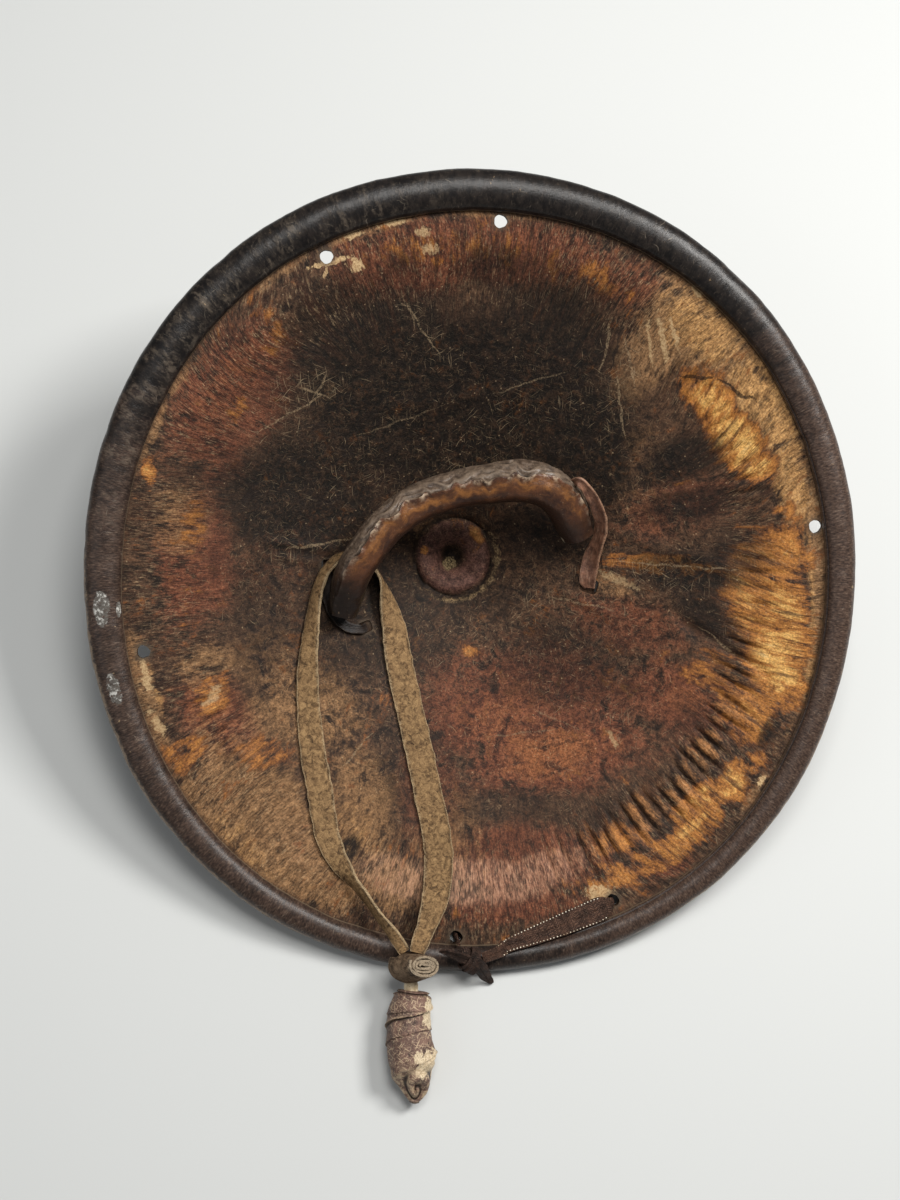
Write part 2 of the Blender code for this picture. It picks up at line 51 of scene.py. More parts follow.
# %% [markdown]
# ## The form of the shield
#
# A shield like this is one thick skin, pressed while wet into a wide cone. Its edge is nearly
# an oval, and its flank rises by a power of the distance from the middle. A few formulas say
# all of that, and every later piece asks them how high the hide stands under it. They work in
# millimetres in the shield's own frame: x right, y to the top edge, z along the axis.

# %% Driving sizes, the same as the solids'
MM = 0.001
HALF_WIDTH, HALF_HEIGHT = 273.6, 284.5
WOBBLE, WOBBLE_PHASE = 1.2, 2.97
HOLLOW, CREST, HIDE = 112.0, 122.0, 5.0
FLARE, SHOULDER = 1.35, 4.0
CRIMP_IN, CRIMP_OUT = 0.77, 0.93
BEAD_RISE, BEAD_WIDTH, BEAD_UNEVEN, BEAD_WIDEST = 9.0, 23.8, 5.5, math.radians(120)
BINDING = 2.0
TIP_RADIUS, REST_FLAT = 26.0, 1.2
BOSS_AT, TIP_AT = (-9.5, 9.0), (-3.0, 3.0)
BOSS_RISE = 6.5
HOLE_RADIUS = 4.6
FREE_HOLES = [(-102, 223), (19, 248), (244, 35), (-232, -52)]
TIED_HOLES = [(101, -234), (-12, -259)]
print("over the bead:", 2 * HALF_WIDTH, "by", 2 * HALF_HEIGHT, "mm")


# %% Heights and radii
def edge_radius(angle):
    """Centre to the outside of the bound edge."""
    oval = HALF_WIDTH * HALF_HEIGHT / np.hypot(HALF_HEIGHT * np.cos(angle), HALF_WIDTH * np.sin(angle))
    return oval + WOBBLE * np.cos(4 * angle - WOBBLE_PHASE)


def bead_width(angle):
    return BEAD_WIDTH + BEAD_UNEVEN * np.cos(angle - BEAD_WIDEST)


def seam_radius(angle):
    """Centre to the inner edge of the binding."""
    return edge_radius(angle) - bead_width(angle)


def ease(low, high, value):
    """0 below low, 1 above high, and a smooth slope between."""
    x = np.clip((value - low) / (high - low), 0, 1)
    return x * x * (3 - 2 * x)


SEAM_DROP = BEAD_RISE + 2.0


def cone_height(share):
    """The inner side of the hide, at a share of the way from the middle to the seam."""
    share = np.clip(share, 0, 1)
    deep = HOLLOW - SEAM_DROP - SHOULDER
    step = SHOULDER * (1 - ease(CRIMP_IN, CRIMP_OUT, share))
    return CREST - SEAM_DROP - deep * (1 - share) ** FLARE - step


def share_at(x, y):
    """How far a place of the hollow lies on the way from the boss to the seam."""
    share = np.hypot(x, y) / seam_radius(np.arctan2(y, x))
    for _ in range(10):
        lean = np.clip(1 - share, 0, 1)
        px, py = x - BOSS_AT[0] * lean, y - BOSS_AT[1] * lean
        share = np.hypot(px, py) / seam_radius(np.arctan2(py, px))
    return share


def inner_height(x, y):
    """The top of the hide or the binding at a place of the hollow."""
    radius, angle = np.hypot(x, y), np.arctan2(y, x)
    half = bead_width(angle) / 2
    across = np.clip(np.abs(radius - seam_radius(angle) - half) / half, 0, 1)
    bead = CREST - BEAD_RISE + BEAD_RISE * np.sqrt(1 - across * across)
    return np.where(radius <= seam_radius(angle), cone_height(share_at(x, y)), bead)


def inner_normal(x, y, step=6.0):
    dx = (inner_height(x + step, y) - inner_height(x - step, y)) / (2 * step)
    dy = (inner_height(x, y + step) - inner_height(x, y - step)) / (2 * step)
    return unit(np.stack([-dx, -dy, np.ones_like(dx)], -1))


def unit(vectors):
    return vectors / np.linalg.norm(vectors, axis=-1, keepdims=True)


print("hide at the seam, the middle:", cone_height(1.0), cone_height(0.0))

# %% [markdown]
# ## How it lies
#
# Put down hollow side up, the cone rocks over until it rests on two things: the small ball
# outside the boss, and the lower edge of the bead. The tilt that brings both to the ground is
# found in a few rounds, and one matrix then carries everything from the shield's frame into
# the room.

# %% Lay it on the ground
def rest_tilt():
    half = float(bead_width(math.radians(-90))) / 2
    span = float(edge_radius(math.radians(-90))) - half + TIP_AT[1]
    rise = CREST - BEAD_RISE - TIP_RADIUS
    tilt = 0.0
    for _ in range(20):
        reach = math.hypot(half * math.sin(tilt), BEAD_RISE * math.cos(tilt))
        tilt = math.atan2(rise, span) + math.asin((TIP_RADIUS - reach) / math.hypot(span, rise))
    return tilt


TILT = rest_tilt()
TILTED = Matrix.Rotation(TILT, 3, "X")
FRAME_AT = Vector((0, 0, TIP_RADIUS - REST_FLAT)) - TILTED @ Vector((*TIP_AT, TIP_RADIUS))
SHIELD = Matrix.Translation(FRAME_AT * MM) @ TILTED.to_4x4()


def ground_under(y):
    """The z, in the shield's frame, of the ground at a place."""
    return -(FRAME_AT.z + y * math.sin(TILT)) / math.cos(TILT)


print("tilt in degrees:", round(math.degrees(TILT), 2))

# %% [markdown]
# ## Camera, floor and light
#
# The camera looks into the hollow almost along the shield's axis, a little from above and from
# the left. The main lamp stands to the upper right, so cords and pleats throw their shade to
# the left. A second one beyond the top edge shines off the lower wall of the hollow, and that
# satin patch, together with a painted sheen there, is what makes the bowl read as deep.

# %% Camera
AIM = Vector((-16.9, -15.2, CREST))
LEAN_LEFT, LEAN_UP = math.radians(3), math.radians(5)
DISTANCE = 1330.0
LENS, FILM_HEIGHT = 57, 36
toward_eye = Vector((-math.tan(LEAN_LEFT), math.tan(LEAN_UP), 1)).normalized()
eye_right = Vector((0, 1, 0)).cross(toward_eye).normalized()
eye_up = toward_eye.cross(eye_right)

camera = bpy.data.objects.new("camera", bpy.data.cameras.new("camera"))
bpy.context.scene.collection.objects.link(camera)
camera.data.sensor_fit = "VERTICAL"
camera.data.sensor_height = FILM_HEIGHT
camera.data.lens = LENS
turn = Matrix((eye_right, eye_up, toward_eye)).transposed().to_4x4()
camera.matrix_world = SHIELD @ Matrix.Translation((AIM + toward_eye * DISTANCE) * MM) @ turn
bpy.context.scene.camera = camera
print("camera at", [round(value, 2) for value in camera.matrix_world.translation])


# %% Floor, sky and lamps
LAMPS_AIM = Vector((0, -0.03, 0.09))
WARM, COOL = (1.0, 0.98, 0.95), (0.96, 0.98, 1.0)
FLOOR = 5.0


def lamp(name, place, size, power, color):
    """A square soft lamp at a place of the shield's frame, in metres, aimed at the hollow."""
    light = bpy.data.lights.new(name, "AREA")
    light.size = size
    light.energy = power
    light.color = color
    made = bpy.data.objects.new(name, light)
    made.location = SHIELD @ Vector(place)
    made.rotation_mode = "QUATERNION"
    made.rotation_quaternion = (SHIELD @ LAMPS_AIM - made.location).to_track_quat("-Z", "Y")
    bpy.context.scene.collection.objects.link(made)


lamp("window_right", (1.15, 1.05, 1.45), 0.6, 40, WARM)
lamp("lamp_above", (0.12, 0.98, 1.75), 0.7, 21, WARM)
lamp("soft_left", (-1.6, -0.1, 1.9), 1.6, 6, COOL)

sky = bpy.data.worlds.new("sky")
sky.use_nodes = True
background = sky.node_tree.nodes["Background"].inputs
background["Color"].default_value = (0.93, 0.95, 0.97, 1)
background["Strength"].default_value = 0.15
bpy.context.scene.world = sky
bpy.context.scene.view_settings.view_transform = "Standard"

floor_mesh = bpy.data.meshes.new("floor")
floor_corners = [(-FLOOR, -FLOOR, 0), (FLOOR, -FLOOR, 0), (FLOOR, FLOOR, 0), (-FLOOR, FLOOR, 0)]
floor_mesh.from_pydata(floor_corners, [], [(0, 1, 2, 3)])
floor = bpy.data.objects.new("floor", floor_mesh)
bpy.context.scene.collection.objects.link(floor)
floor_paint = bpy.data.materials.new("floor_paint")
floor_paint.use_nodes = True
painted = floor_paint.node_tree.nodes["Principled BSDF"].inputs
painted["Base Color"].default_value = (0.605, 0.62, 0.615, 1)
painted["Roughness"].default_value = 0.85
floor_mesh.materials.append(floor_paint)

# %% [markdown]
# ## Three helpers for meshes
#
# Hide is never even, so every mesh needs a soft, repeatable unevenness. `rumple` is that: it
# gives each corner of an invisible lattice a value of its own and blends between them. It has
# no random state, so the shield comes out alike each time. `skin` joins rings of points into
# one closed mesh, and `curve_through` reads a smooth line from a few given places.

# %% Soft unevenness
# large numbers that carry neighbouring corners, and neighbouring seeds, far apart
CORNER_STEPS = [np.uint32(step) for step in (374761393, 668265263, 1165031994)]
SEED_STEP, SEED_START = 2654435, 12345
# stirs of the bits: how far they are shifted, and what they are then multiplied by
STIRS = [(np.uint32(13), np.uint32(1274126177)), (np.uint32(16), np.uint32(2246822519)),
         (np.uint32(15), np.uint32(1))]
LOW_BITS = np.uint32(0xFFFF)


def lattice_value(cells, seed):
    """A number from -1 to 1 that belongs to a lattice corner."""
    x, y, z = (cells[..., k].astype(np.uint32) * CORNER_STEPS[k] for k in range(3))
    mixed = x + y + z + np.uint32(seed * SEED_STEP + SEED_START)
    for shift, factor in STIRS:
        mixed = (mixed ^ (mixed >> shift)) * factor
    return (mixed & LOW_BITS).astype(float) / (LOW_BITS / 2) - 1


# each further layer of unevenness is finer and fainter, and lies aside of the last
FINER, FAINTER, ASIDE = 2.03, 0.5, 31.7


def rumple(points, size, seed=0, layers=2):
    """Soft unevenness of a given size in millimetres, about -1 to 1, at each point."""
    total, strength, weight = 0.0, 1.0, 0.0
    for layer in range(layers):
        scaled = np.asarray(points, float) * (FINER ** layer / size) + ASIDE * layer
        cells = np.floor(scaled)
        part = scaled - cells
        part = part * part * (3 - 2 * part)
        cells = cells.astype(np.int64)
        for corner in np.ndindex(2, 2, 2):
            share = np.prod(np.where(corner, part, 1 - part), axis=-1)
            total = total + strength * share * lattice_value(cells + np.array(corner), seed + layer)
        weight += strength
        strength *= FAINTER
    return total / weight


def flat_points(x, y, z=0.0):
    return np.stack(np.broadcast_arrays(x, y, z), -1).astype(float)


def round_axis(radius, angle, z=0.0):
    return flat_points(radius * np.cos(angle), radius * np.sin(angle), z)


def whole_turn(count):
    """Angles of a number of points round a section."""
    return 2 * math.pi * np.arange(count) / count


print("unevenness at three places:", np.round(rumple([[0, 0, 0], [9, 2, 0], [40, 7, 3]], 20), 2))


# %% Skin rings into a closed mesh
def between_rings(start_a, count_a, start_b, count_b):
    """Faces between two rings of points, where one may have twice as many as the other."""
    few = np.arange(min(count_a, count_b))
    after = (few + 1) % len(few)
    if count_a == count_b:
        return [np.stack([start_a + few, start_a + after, start_b + after, start_b + few], 1)]
    left, middle, right = 2 * few, 2 * few + 1, (2 * few + 2) % (2 * len(few))
    if count_a < count_b:
        rows = [(start_a + few, start_b + middle, start_b + left),
                (start_a + few, start_a + after, start_b + middle),
                (start_a + after, start_b + right, start_b + middle)]
    else:
        rows = [(start_a + left, start_a + middle, start_b + few),
                (start_a + middle, start_b + after, start_b + few),
                (start_a + middle, start_a + right, start_b + after)]
    return [np.stack(row, 1) for row in rows]


def skin(name, rings, finish, sharp=50, round_again=False, along=None):
    """Skins rings of points, in millimetres in the shield's frame, into one closed piece.

    The ends are closed to their middles, or the last ring meets the first when round_again
    is set. With along, one number for each ring, the piece gets a map of its length in
    millimetres and the share of the way round it.
    """
    counts = [len(ring) for ring in rings]
    starts = np.concatenate([[0], np.cumsum(counts)])
    points = np.concatenate(rings)
    faces = []
    for k in range(len(rings) - 1):
        faces += between_rings(starts[k], counts[k], starts[k + 1], counts[k + 1])
    if round_again:
        faces += between_rings(starts[-2], counts[-1], 0, counts[0])
    else:
        middles = np.stack([rings[0].mean(0), rings[-1].mean(0)])
        first, last = np.arange(counts[0]), starts[-2] + np.arange(counts[-1])
        first_middle, last_middle = len(points), len(points) + 1
        faces.append(np.stack([np.roll(first, -1), first, np.full(len(first), first_middle)], 1))
        faces.append(np.stack([last, np.roll(last, -1), np.full(len(last), last_middle)], 1))
        points = np.concatenate([points, middles])
    if enclosed_volume(points, faces) < 0:
        faces = [block[:, ::-1] for block in faces]
    mesh = bpy.data.meshes.new(name)
    mesh.from_pydata((points * MM).tolist(), [], [face for block in faces for face in block.tolist()])
    if along is not None:
        lay_map(mesh, counts, along, round_again)
    return place_piece(name, mesh, finish, sharp)


def enclosed_volume(points, faces):
    total = 0.0
    for block in faces:
        a, b = points[block[:, 0]], points[block[:, 1]]
        for k in range(2, block.shape[1]):
            c = points[block[:, k]]
            total += np.einsum("ij,ij->", a, np.cross(b, c))
            b = c
    return total / 6


def lay_map(mesh, counts, along, round_again):
    """Writes length and way round to the map called lay, without a torn face at the join."""
    length = np.concatenate([np.full(count, value) for count, value in zip(counts, along)])
    way = np.concatenate([np.arange(count) / count for count in counts])
    if not round_again:
        length = np.concatenate([length, [along[0], along[-1]]])
        way = np.concatenate([way, [0.5, 0.5]])
    corners = np.empty(len(mesh.loops), int)
    mesh.loops.foreach_get("vertex_index", corners)
    sizes = np.empty(len(mesh.polygons), int)
    mesh.polygons.foreach_get("loop_total", sizes)
    face_of = np.repeat(np.arange(len(sizes)), sizes)
    round_it = way[corners]
    highest = np.zeros(len(sizes))
    np.maximum.at(highest, face_of, round_it)
    round_it = np.where(highest[face_of] - round_it > 0.5, round_it + 1, round_it)
    layer = mesh.uv_layers.new(name="lay")
    layer.uv.foreach_set("vector", np.stack([length[corners], round_it], 1).astype(np.float32).ravel())


def place_piece(name, mesh, finish, sharp):
    """Makes the mesh an object in the shield's frame, smooth but for edges past an angle."""
    mesh.materials.append(finish)
    mesh.shade_smooth()
    mesh.set_sharp_from_angle(angle=math.radians(sharp))
    piece = bpy.data.objects.new(name, mesh)
    bpy.context.scene.collection.objects.link(piece)
    piece.matrix_world = SHIELD
    return piece


def dress(piece, finish, slot, *nodes):
    """The piece gets its finish, is laid in the room, rides along and stands for its solids."""
    piece.data.materials.clear()
    piece.data.materials.append(finish)
    piece.data.transform(SHIELD)
    piece.matrix_world = Matrix()
    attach(piece, "root")
    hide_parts(*nodes)
    piece.data.calc_loop_triangles()
    print(piece.name, "has", len(piece.data.loop_triangles), "triangles")


# %% Smooth lines through chosen places
def curve_through(rows, samples):
    """Rows of any width, read from a smooth curve through the given ones."""
    rows = np.array(rows, float)
    padded = np.vstack([2 * rows[0] - rows[1], rows, 2 * rows[-1] - rows[-2]])
    place = np.linspace(0, len(rows) - 1, samples)
    i = np.minimum(place.astype(int), len(rows) - 2)
    t = (place - i)[:, None]
    p0, p1, p2, p3 = (padded[i + k] for k in range(4))
    return 0.5 * (2 * p1 + (p2 - p0) * t + (2 * p0 - 5 * p1 + 4 * p2 - p3) * t ** 2
                  + (3 * p1 - p0 - 3 * p2 + p3) * t ** 3)


def headings(places):
    return unit(np.gradient(places, axis=0))


def lengths(places):
    """The way covered at each place of a line."""
    steps = np.linalg.norm(np.diff(places, axis=0), axis=1)
    return np.concatenate([[0], np.cumsum(steps)])


def square_to(along, side):
    """The side, turned square to the line, and the third direction."""
    side = unit(side - along * (side * along).sum(-1, keepdims=True))
    return side, np.cross(along, side)


arch = curve_through([(0, 0), (1, 2), (3, 0)], 50)
print("a small arch is", round(float(lengths(arch)[-1]), 2), "long")

# %% [markdown]
# ## A helper for finishes
#
# A finish on old leather is many thin layers: a ground colour, soot, worn places, fibres,
# cracks. In Blender each is a few nodes mixed over the last. The class below adds one node for
# each call and hands back its output, and lay puts one more layer over the ground, so that a
# recipe reads from top to bottom like the work of a painter.

# %% The recipe class
# three darks that most of the recipes use
PITCH, SMOKE, SHADE = (0.006, 0.005, 0.005), (0.010, 0.007, 0.006), (0.008, 0.006, 0.005)
# where the colour mixing node has its sockets
MIX_SHARE, MIX_BELOW, MIX_COLOR, MIX_RESULT = 0, 6, 7, 2


class Finish:
    """A material that is built up call by call. Sizes are in millimetres."""

    def __init__(self, name, **plain):
        self.material = bpy.data.materials.new(name)
        self.material.use_nodes = True
        self.tree = self.material.node_tree
        self.shader = self.tree.nodes["Principled BSDF"]
        for socket, value in plain.items():
            self.shader.inputs[socket.replace("_", " ")].default_value = value
        room = self.add("TexCoord").outputs["Object"]
        feeds = [("Vector", room), ("Scale", (1 / MM,) * 3), ("Rotation", (-TILT, 0, 0)),
                 ("Location", -(TILTED.transposed() @ FRAME_AT))]
        self.place = self.add("Mapping", feeds).outputs[0]
        self.ground = None

    def add(self, kind, feeds=(), **settings):
        node = self.tree.nodes.new("ShaderNode" + kind)
        for key, value in settings.items():
            setattr(node, key, value)
        for socket, value in feeds:
            if isinstance(value, bpy.types.NodeSocket):
                self.tree.links.new(value, node.inputs[socket])
            elif value is not None:
                node.inputs[socket].default_value = value
        return node

    def join(self, how, first, second):
        """Two vectors joined by a sum."""
        return self.add("VectorMath", [(0, first), (1, second)], operation=how).outputs[0]

    def stretch(self, vector, scale, turn=0.0):
        """The vector turned about the axis by degrees and scaled along each direction."""
        turned = self.add("Mapping", [("Vector", vector), ("Rotation", (0, 0, math.radians(turn)))])
        return self.join("MULTIPLY", turned.outputs[0], scale)

    def noise(self, vector, detail=2.5, rough=0.6, scale=1.0, twist=0.0):
        feeds = [("Vector", vector), ("Scale", scale), ("Detail", detail), ("Roughness", rough),
                 ("Distortion", twist)]
        return self.add("TexNoise", feeds).outputs["Fac"]

    def cloud(self, size, detail=4.0, rough=0.55, twist=0.0):
        """Noise with spots of a size, 0 to 1 with most of it near a half."""
        return self.noise(self.place, detail, rough, 1 / size, twist)

    def cells(self, size):
        """How far each place is from the nearest of many scattered points."""
        return self.add("TexVoronoi", [("Vector", self.place), ("Scale", 1 / size)]).outputs["Distance"]

    def wander(self, vector, size, reach):
        """The vector, pushed about by soft noise."""
        noise = self.add("TexNoise", [("Vector", vector), ("Scale", 1 / size), ("Detail", 2.0)])
        centred = self.join("SUBTRACT", noise.outputs["Color"], (0.5, 0.5, 0.5))
        return self.join("ADD", vector, self.join("MULTIPLY", centred, (reach,) * 3))

    def fibres(self, length, width, turn=0.0, bend=14.0, vector=None):
        """Short fibres that lie in one direction, as a noise drawn out along it."""
        bent = self.wander(vector or self.place, length * 1.3, bend)
        return self.noise(self.stretch(bent, (1 / length, 1 / width, 0), turn), 1.5, 0.5)

    def strip_grain(self, length):
        """Grain that is drawn out along a strip, read from its map."""
        lay = self.add("UVMap", uv_map="lay").outputs[0]
        return self.noise(self.wander(self.stretch(lay, (1 / length, 16, 1)), 1.5, 0.5), 4.0, 0.6)

    def oval(self, x, y, long, wide, turn, noise, fray, vector=None):
        """1 inside a frayed oval, given by its middle, half sizes and direction in degrees."""
        feeds = [("Vector", vector or self.place), ("Location", (x, y, 0)),
                 ("Rotation", (0, 0, math.radians(turn))), ("Scale", (long, wide, 2000))]
        inside = self.add("Mapping", feeds, vector_type="TEXTURE").outputs[0]
        far = self.add("VectorMath", [(0, inside)], operation="LENGTH").outputs["Value"]
        return self.step(self.plus(far, self.graded(noise, fray, -fray / 2)), 1.15, 0.70)

    def step(self, value, low, high):
        """0 below low, 1 above high; give low above high for the reverse."""
        feeds = [("Value", value), ("From Min", low), ("From Max", high)]
        return self.add("MapRange", feeds, interpolation_type="SMOOTHSTEP").outputs[0]

    def calc(self, how, first, second=None, third=None):
        feeds = [(0, first), (1, second), (2, third)]
        return self.add("Math", feeds, operation=how).outputs[0]

    def graded(self, value, factor, start):
        """The value times a factor, added to a start."""
        return self.calc("MULTIPLY_ADD", value, factor, start)

    def fold(self, how, values):
        """The same sum carried on from value to value."""
        result = values[0]
        for value in values[1:]:
            result = self.calc(how, result, value)
        return result

    def most(self, *values):
        return self.fold("MAXIMUM", values)

    def times(self, *values):
        return self.fold("MULTIPLY", values)

    def plus(self, *values):
        return self.fold("ADD", values)

    def painted(self, name):
        """A mask that was painted on the mesh's points."""
        return self.add("Attribute", attribute_name=name).outputs["Fac"]

    def frayed(self, name, noise, fray):
        """A painted mask whose slopes are broken up by noise."""
        return self.plus(self.painted(name), self.graded(noise, fray, -fray / 2))

    def over(self, below, color, share, how="MIX"):
        """A colour laid over what is below, as thickly as the share says."""
        feeds = [(MIX_SHARE, share)]
        for socket, value in ((MIX_BELOW, below), (MIX_COLOR, color)):
            feeds.append((socket, (*value, 1) if isinstance(value, tuple) else value))
        return self.add("Mix", feeds, data_type="RGBA", blend_type=how).outputs[MIX_RESULT]

    def shaded(self, dark, light, noise, low, high):
        """One colour where the noise is below low, another where it is above high."""
        return self.over(dark, light, self.step(noise, low, high))

    def lay(self, color, *shares, how="MIX"):
        """The next layer of the finish, as thick as all its shares multiplied."""
        self.ground = self.over(self.ground, color, self.times(*shares), how)

    def raised(self, height, depth, under=None):
        """Fine relief: the height, 0 to 1, stands up by a depth in millimetres."""
        feeds = [("Height", height), ("Distance", depth * MM), ("Strength", 1.0), ("Normal", under)]
        return self.add("Bump", feeds).outputs["Normal"]

    def finish(self, roughness, normal):
        """The material, with its layers, its dullness and its relief joined to the shader."""
        for socket, value in (("Base Color", self.ground), ("Roughness", roughness), ("Normal", normal)):
            self.tree.links.new(value, self.shader.inputs[socket])
        print("finish", self.material.name, "has", len(self.tree.nodes), "nodes")
        return self.material


print("calls that a recipe can make:", ", ".join(name for name in vars(Finish) if name[0] != "_"))

# %% [markdown]
# ## The hide: its form
#
# The real hide was pressed into a cone while wet, and the spare skin near the edge was driven
# into pleats, as in a pie case. It also sags and swells a little everywhere. All of that is
# real relief here, because low light rakes across it and shows every dent. The mesh is a stack
# of rings about the boss, with more points where the pleats are.

# %% Where the rings have their points
AROUND = 720
# degrees are counted up from here, a direction that no sector of pleats crosses
PLEATS_SPLIT = -110
# sectors of pleats, in degrees: from, to, spacing, height in millimetres, extra points
PLEATS = [(-77, -11, 2.8, 1.9, 1.5), (-102, -80, 2.5, 0.55, 0.4), (-13, 5, 3.1, 0.9, 0.8),
          (13, 53, 2.9, 1.1, 0.6), (197, 237, 3.0, 0.8, 0.3)]


def spread_stations():
    angles = np.radians(np.linspace(-90, 270, 3601))
    density = np.ones_like(angles)
    for start, end, _, _, extra in PLEATS:
        inside = ease(start - 3, start + 3, np.degrees(angles))
        inside -= ease(end - 3, end + 3, np.degrees(angles))
        density += extra * inside
    total = np.concatenate([[0], np.cumsum((density[1:] + density[:-1]) / 2)])
    return np.interp(np.arange(AROUND) / AROUND * total[-1], total, angles)


STATIONS = spread_stations()
print("finest spacing of points:", round(float(np.degrees(np.diff(STATIONS).min())), 2), "degrees")


# %% Relief of the hollow side
# the boss: distance from its middle, and share of its height
BOSS_SHAPE = [(0, -0.35), (3.8, -0.25), (6.6, 0.15), (9.5, 0.62), (13, 0.90), (17.5, 1.0), (22, 0.93),
              (25.5, 0.58), (27.8, 0.02), (29.4, -0.28), (31.4, -0.12), (36, 0.0), (60, 0.0)]
boss_curve = curve_through(BOSS_SHAPE, 200)
# the measure of full pleats, and how far their pillows stand up and their valleys go down
TALLEST_PLEAT, PILLOW_RISE, VALLEY_DEPTH = 1.9, 2.7, 1.5
print("the boss stands", round(BOSS_RISE * boss_curve[:, 1].max(), 1), "mm over the cone")


def pleat_wave(angle, share):
    """Two values from 0 to 1: how much of the valley and of the pillow between them is here."""
    valley, crest = np.zeros(np.broadcast(angle, share).shape), 0.0
    degrees = (np.degrees(angle) - PLEATS_SPLIT) % 360 + PLEATS_SPLIT
    round_edge = round_axis(90, angle)
    for k, (start, end, spacing, height, _) in enumerate(PLEATS):
        drift = 2.6 * rumple(round_edge, 9, 40 + k, 1)
        lean = 1.8 * rumple(round_edge, 26, 50 + k, 1) * (share - 0.84) / 0.08
        phase = 2 * math.pi * (degrees - start) / spacing + drift + lean
        inner_end = CRIMP_IN + 0.010 + 0.024 * rumple(round_edge, 4.5, 60 + k, 1)
        outer_end = CRIMP_OUT - 0.050 + 0.030 * rumple(round_edge, 6, 70 + k, 1)
        window = ease(inner_end - 0.025, inner_end + 0.025, share)
        window = window - ease(outer_end - 0.05, outer_end + 0.02, share)
        window = window * (ease(start - 2, start + 5, degrees) - ease(end - 5, end + 2, degrees))
        power = window * height * (0.88 + 0.45 * rumple(round_edge, 6.5, 80 + k, 1)) / TALLEST_PLEAT
        low = np.exp(-(np.sin(phase / 2) / 0.56) ** 2)
        valley = np.maximum(valley, low * power)
        crest = np.maximum(crest, (1 - low) * power)
    return np.clip(valley, 0, 1.2), np.clip(crest, 0, 1.2)


# creases: from x, y to x, y, height, width
CREASES = [(-142, 23, -88, 15, 1.0, 3.0), (-138, 12, -92, 4, 0.6, 3.0), (160, -38, 212, -72, -1.6, 4.0),
           (150, -30, 176, -62, -0.9, 4.0), (100, 30, 190, 2, 0.7, 5.0), (150, 139, 205, 122, -0.8, 2.6),
           (70, -16, 104, -32, 0.9, 4.0), (-60, 120, 30, 130, 0.5, 5.0), (20, 235, 24, 205, -0.7, 2.5)]


def away_from_line(x, y, x0, y0, x1, y1):
    """Distance from a short line."""
    dx, dy = x1 - x0, y1 - y0
    share = np.clip(((x - x0) * dx + (y - y0) * dy) / (dx * dx + dy * dy), 0, 1)
    return np.hypot(x - x0 - share * dx, y - y0 - share * dy)


def hollow_relief(x, y, share, angle):
    """Millimetres above the smooth cone."""
    place = flat_points(x, y)
    waves = 0.85 * rumple(place, 62, 3) + 0.45 * rumple(place, 21, 5) + 0.13 * rumple(place, 6.5, 8)
    height = waves * (1 - 0.75 * ease(0.93, 0.99, share))
    far = np.hypot(x - BOSS_AT[0], y - BOSS_AT[1])
    way = np.arctan2(y - BOSS_AT[1], x - BOSS_AT[0])
    lobes = 1 + 0.10 * np.cos(5 * way + 0.7) * ease(6, 14, far) + 0.05 * np.cos(11 * way)
    height += BOSS_RISE * np.interp(far, boss_curve[:, 0], boss_curve[:, 1]) * lobes
    height *= 1 - 0.5 * np.exp(-(far / 9.0) ** 2)
    valley, crest = pleat_wave(angle, share)
    height += PILLOW_RISE * crest - VALLEY_DEPTH * valley
    for x0, y0, x1, y1, rise, wide in CREASES:
        height += rise * np.exp(-(away_from_line(x, y, x0, y0, x1, y1) / wide) ** 2)
    return height


# %% Rings of the hide
def ring_points(share, every, height_of, middle):
    angle = STATIONS[::every]
    radius = seam_radius(angle) * share
    lean = 1 - share
    x = middle[0] * lean + radius * np.cos(angle)
    y = middle[1] * lean + radius * np.sin(angle)
    return flat_points(x, y, height_of(x, y, angle))


def hollow_ring(share, every):
    return ring_points(share, every,
                       lambda x, y, angle: cone_height(share) + hollow_relief(x, y, share, angle), BOSS_AT)


def outer_ring(share, every):
    """The outside follows the cone's slope, and shows the pleats faintly."""
    def height(x, y, angle):
        valley, crest = pleat_wave(angle, share)
        bumps = 0.9 * rumple(flat_points(x, y), 62, 3) + 0.25 * rumple(flat_points(x, y), 18, 15)
        return cone_height(share) - HIDE * 1.1 + bumps * ease(0.12, 0.3, share) + crest - valley
    return ring_points(share, every, height, TIP_AT if share < 0.3 else BOSS_AT)


def rolled_ring(turn, inset, every=2):
    """A ring on the rolled edge, at an angle in degrees round the section of the bead."""
    angle, turn = STATIONS[::every], math.radians(turn)
    half = bead_width(angle) / 2
    radius = edge_radius(angle) - half + (half - inset) * np.cos(turn)
    height = CREST - BEAD_RISE + (BEAD_RISE - inset) * math.sin(turn)
    return round_axis(radius, angle, height)


def tip_ring(turn):
    """A ring on the ball outside the boss."""
    angle, turn = STATIONS[::4], math.radians(turn)
    radius = TIP_RADIUS * math.sin(turn)
    return flat_points(TIP_AT[0] + radius * np.cos(angle), TIP_AT[1] + radius * np.sin(angle),
                       TIP_RADIUS - TIP_RADIUS * math.cos(turn))


def kept_above_ground(ring):
    """The places that the shield rests on are worn flat."""
    return flat_points(ring[:, 0], ring[:, 1], np.maximum(ring[:, 2], ground_under(ring[:, 1])))


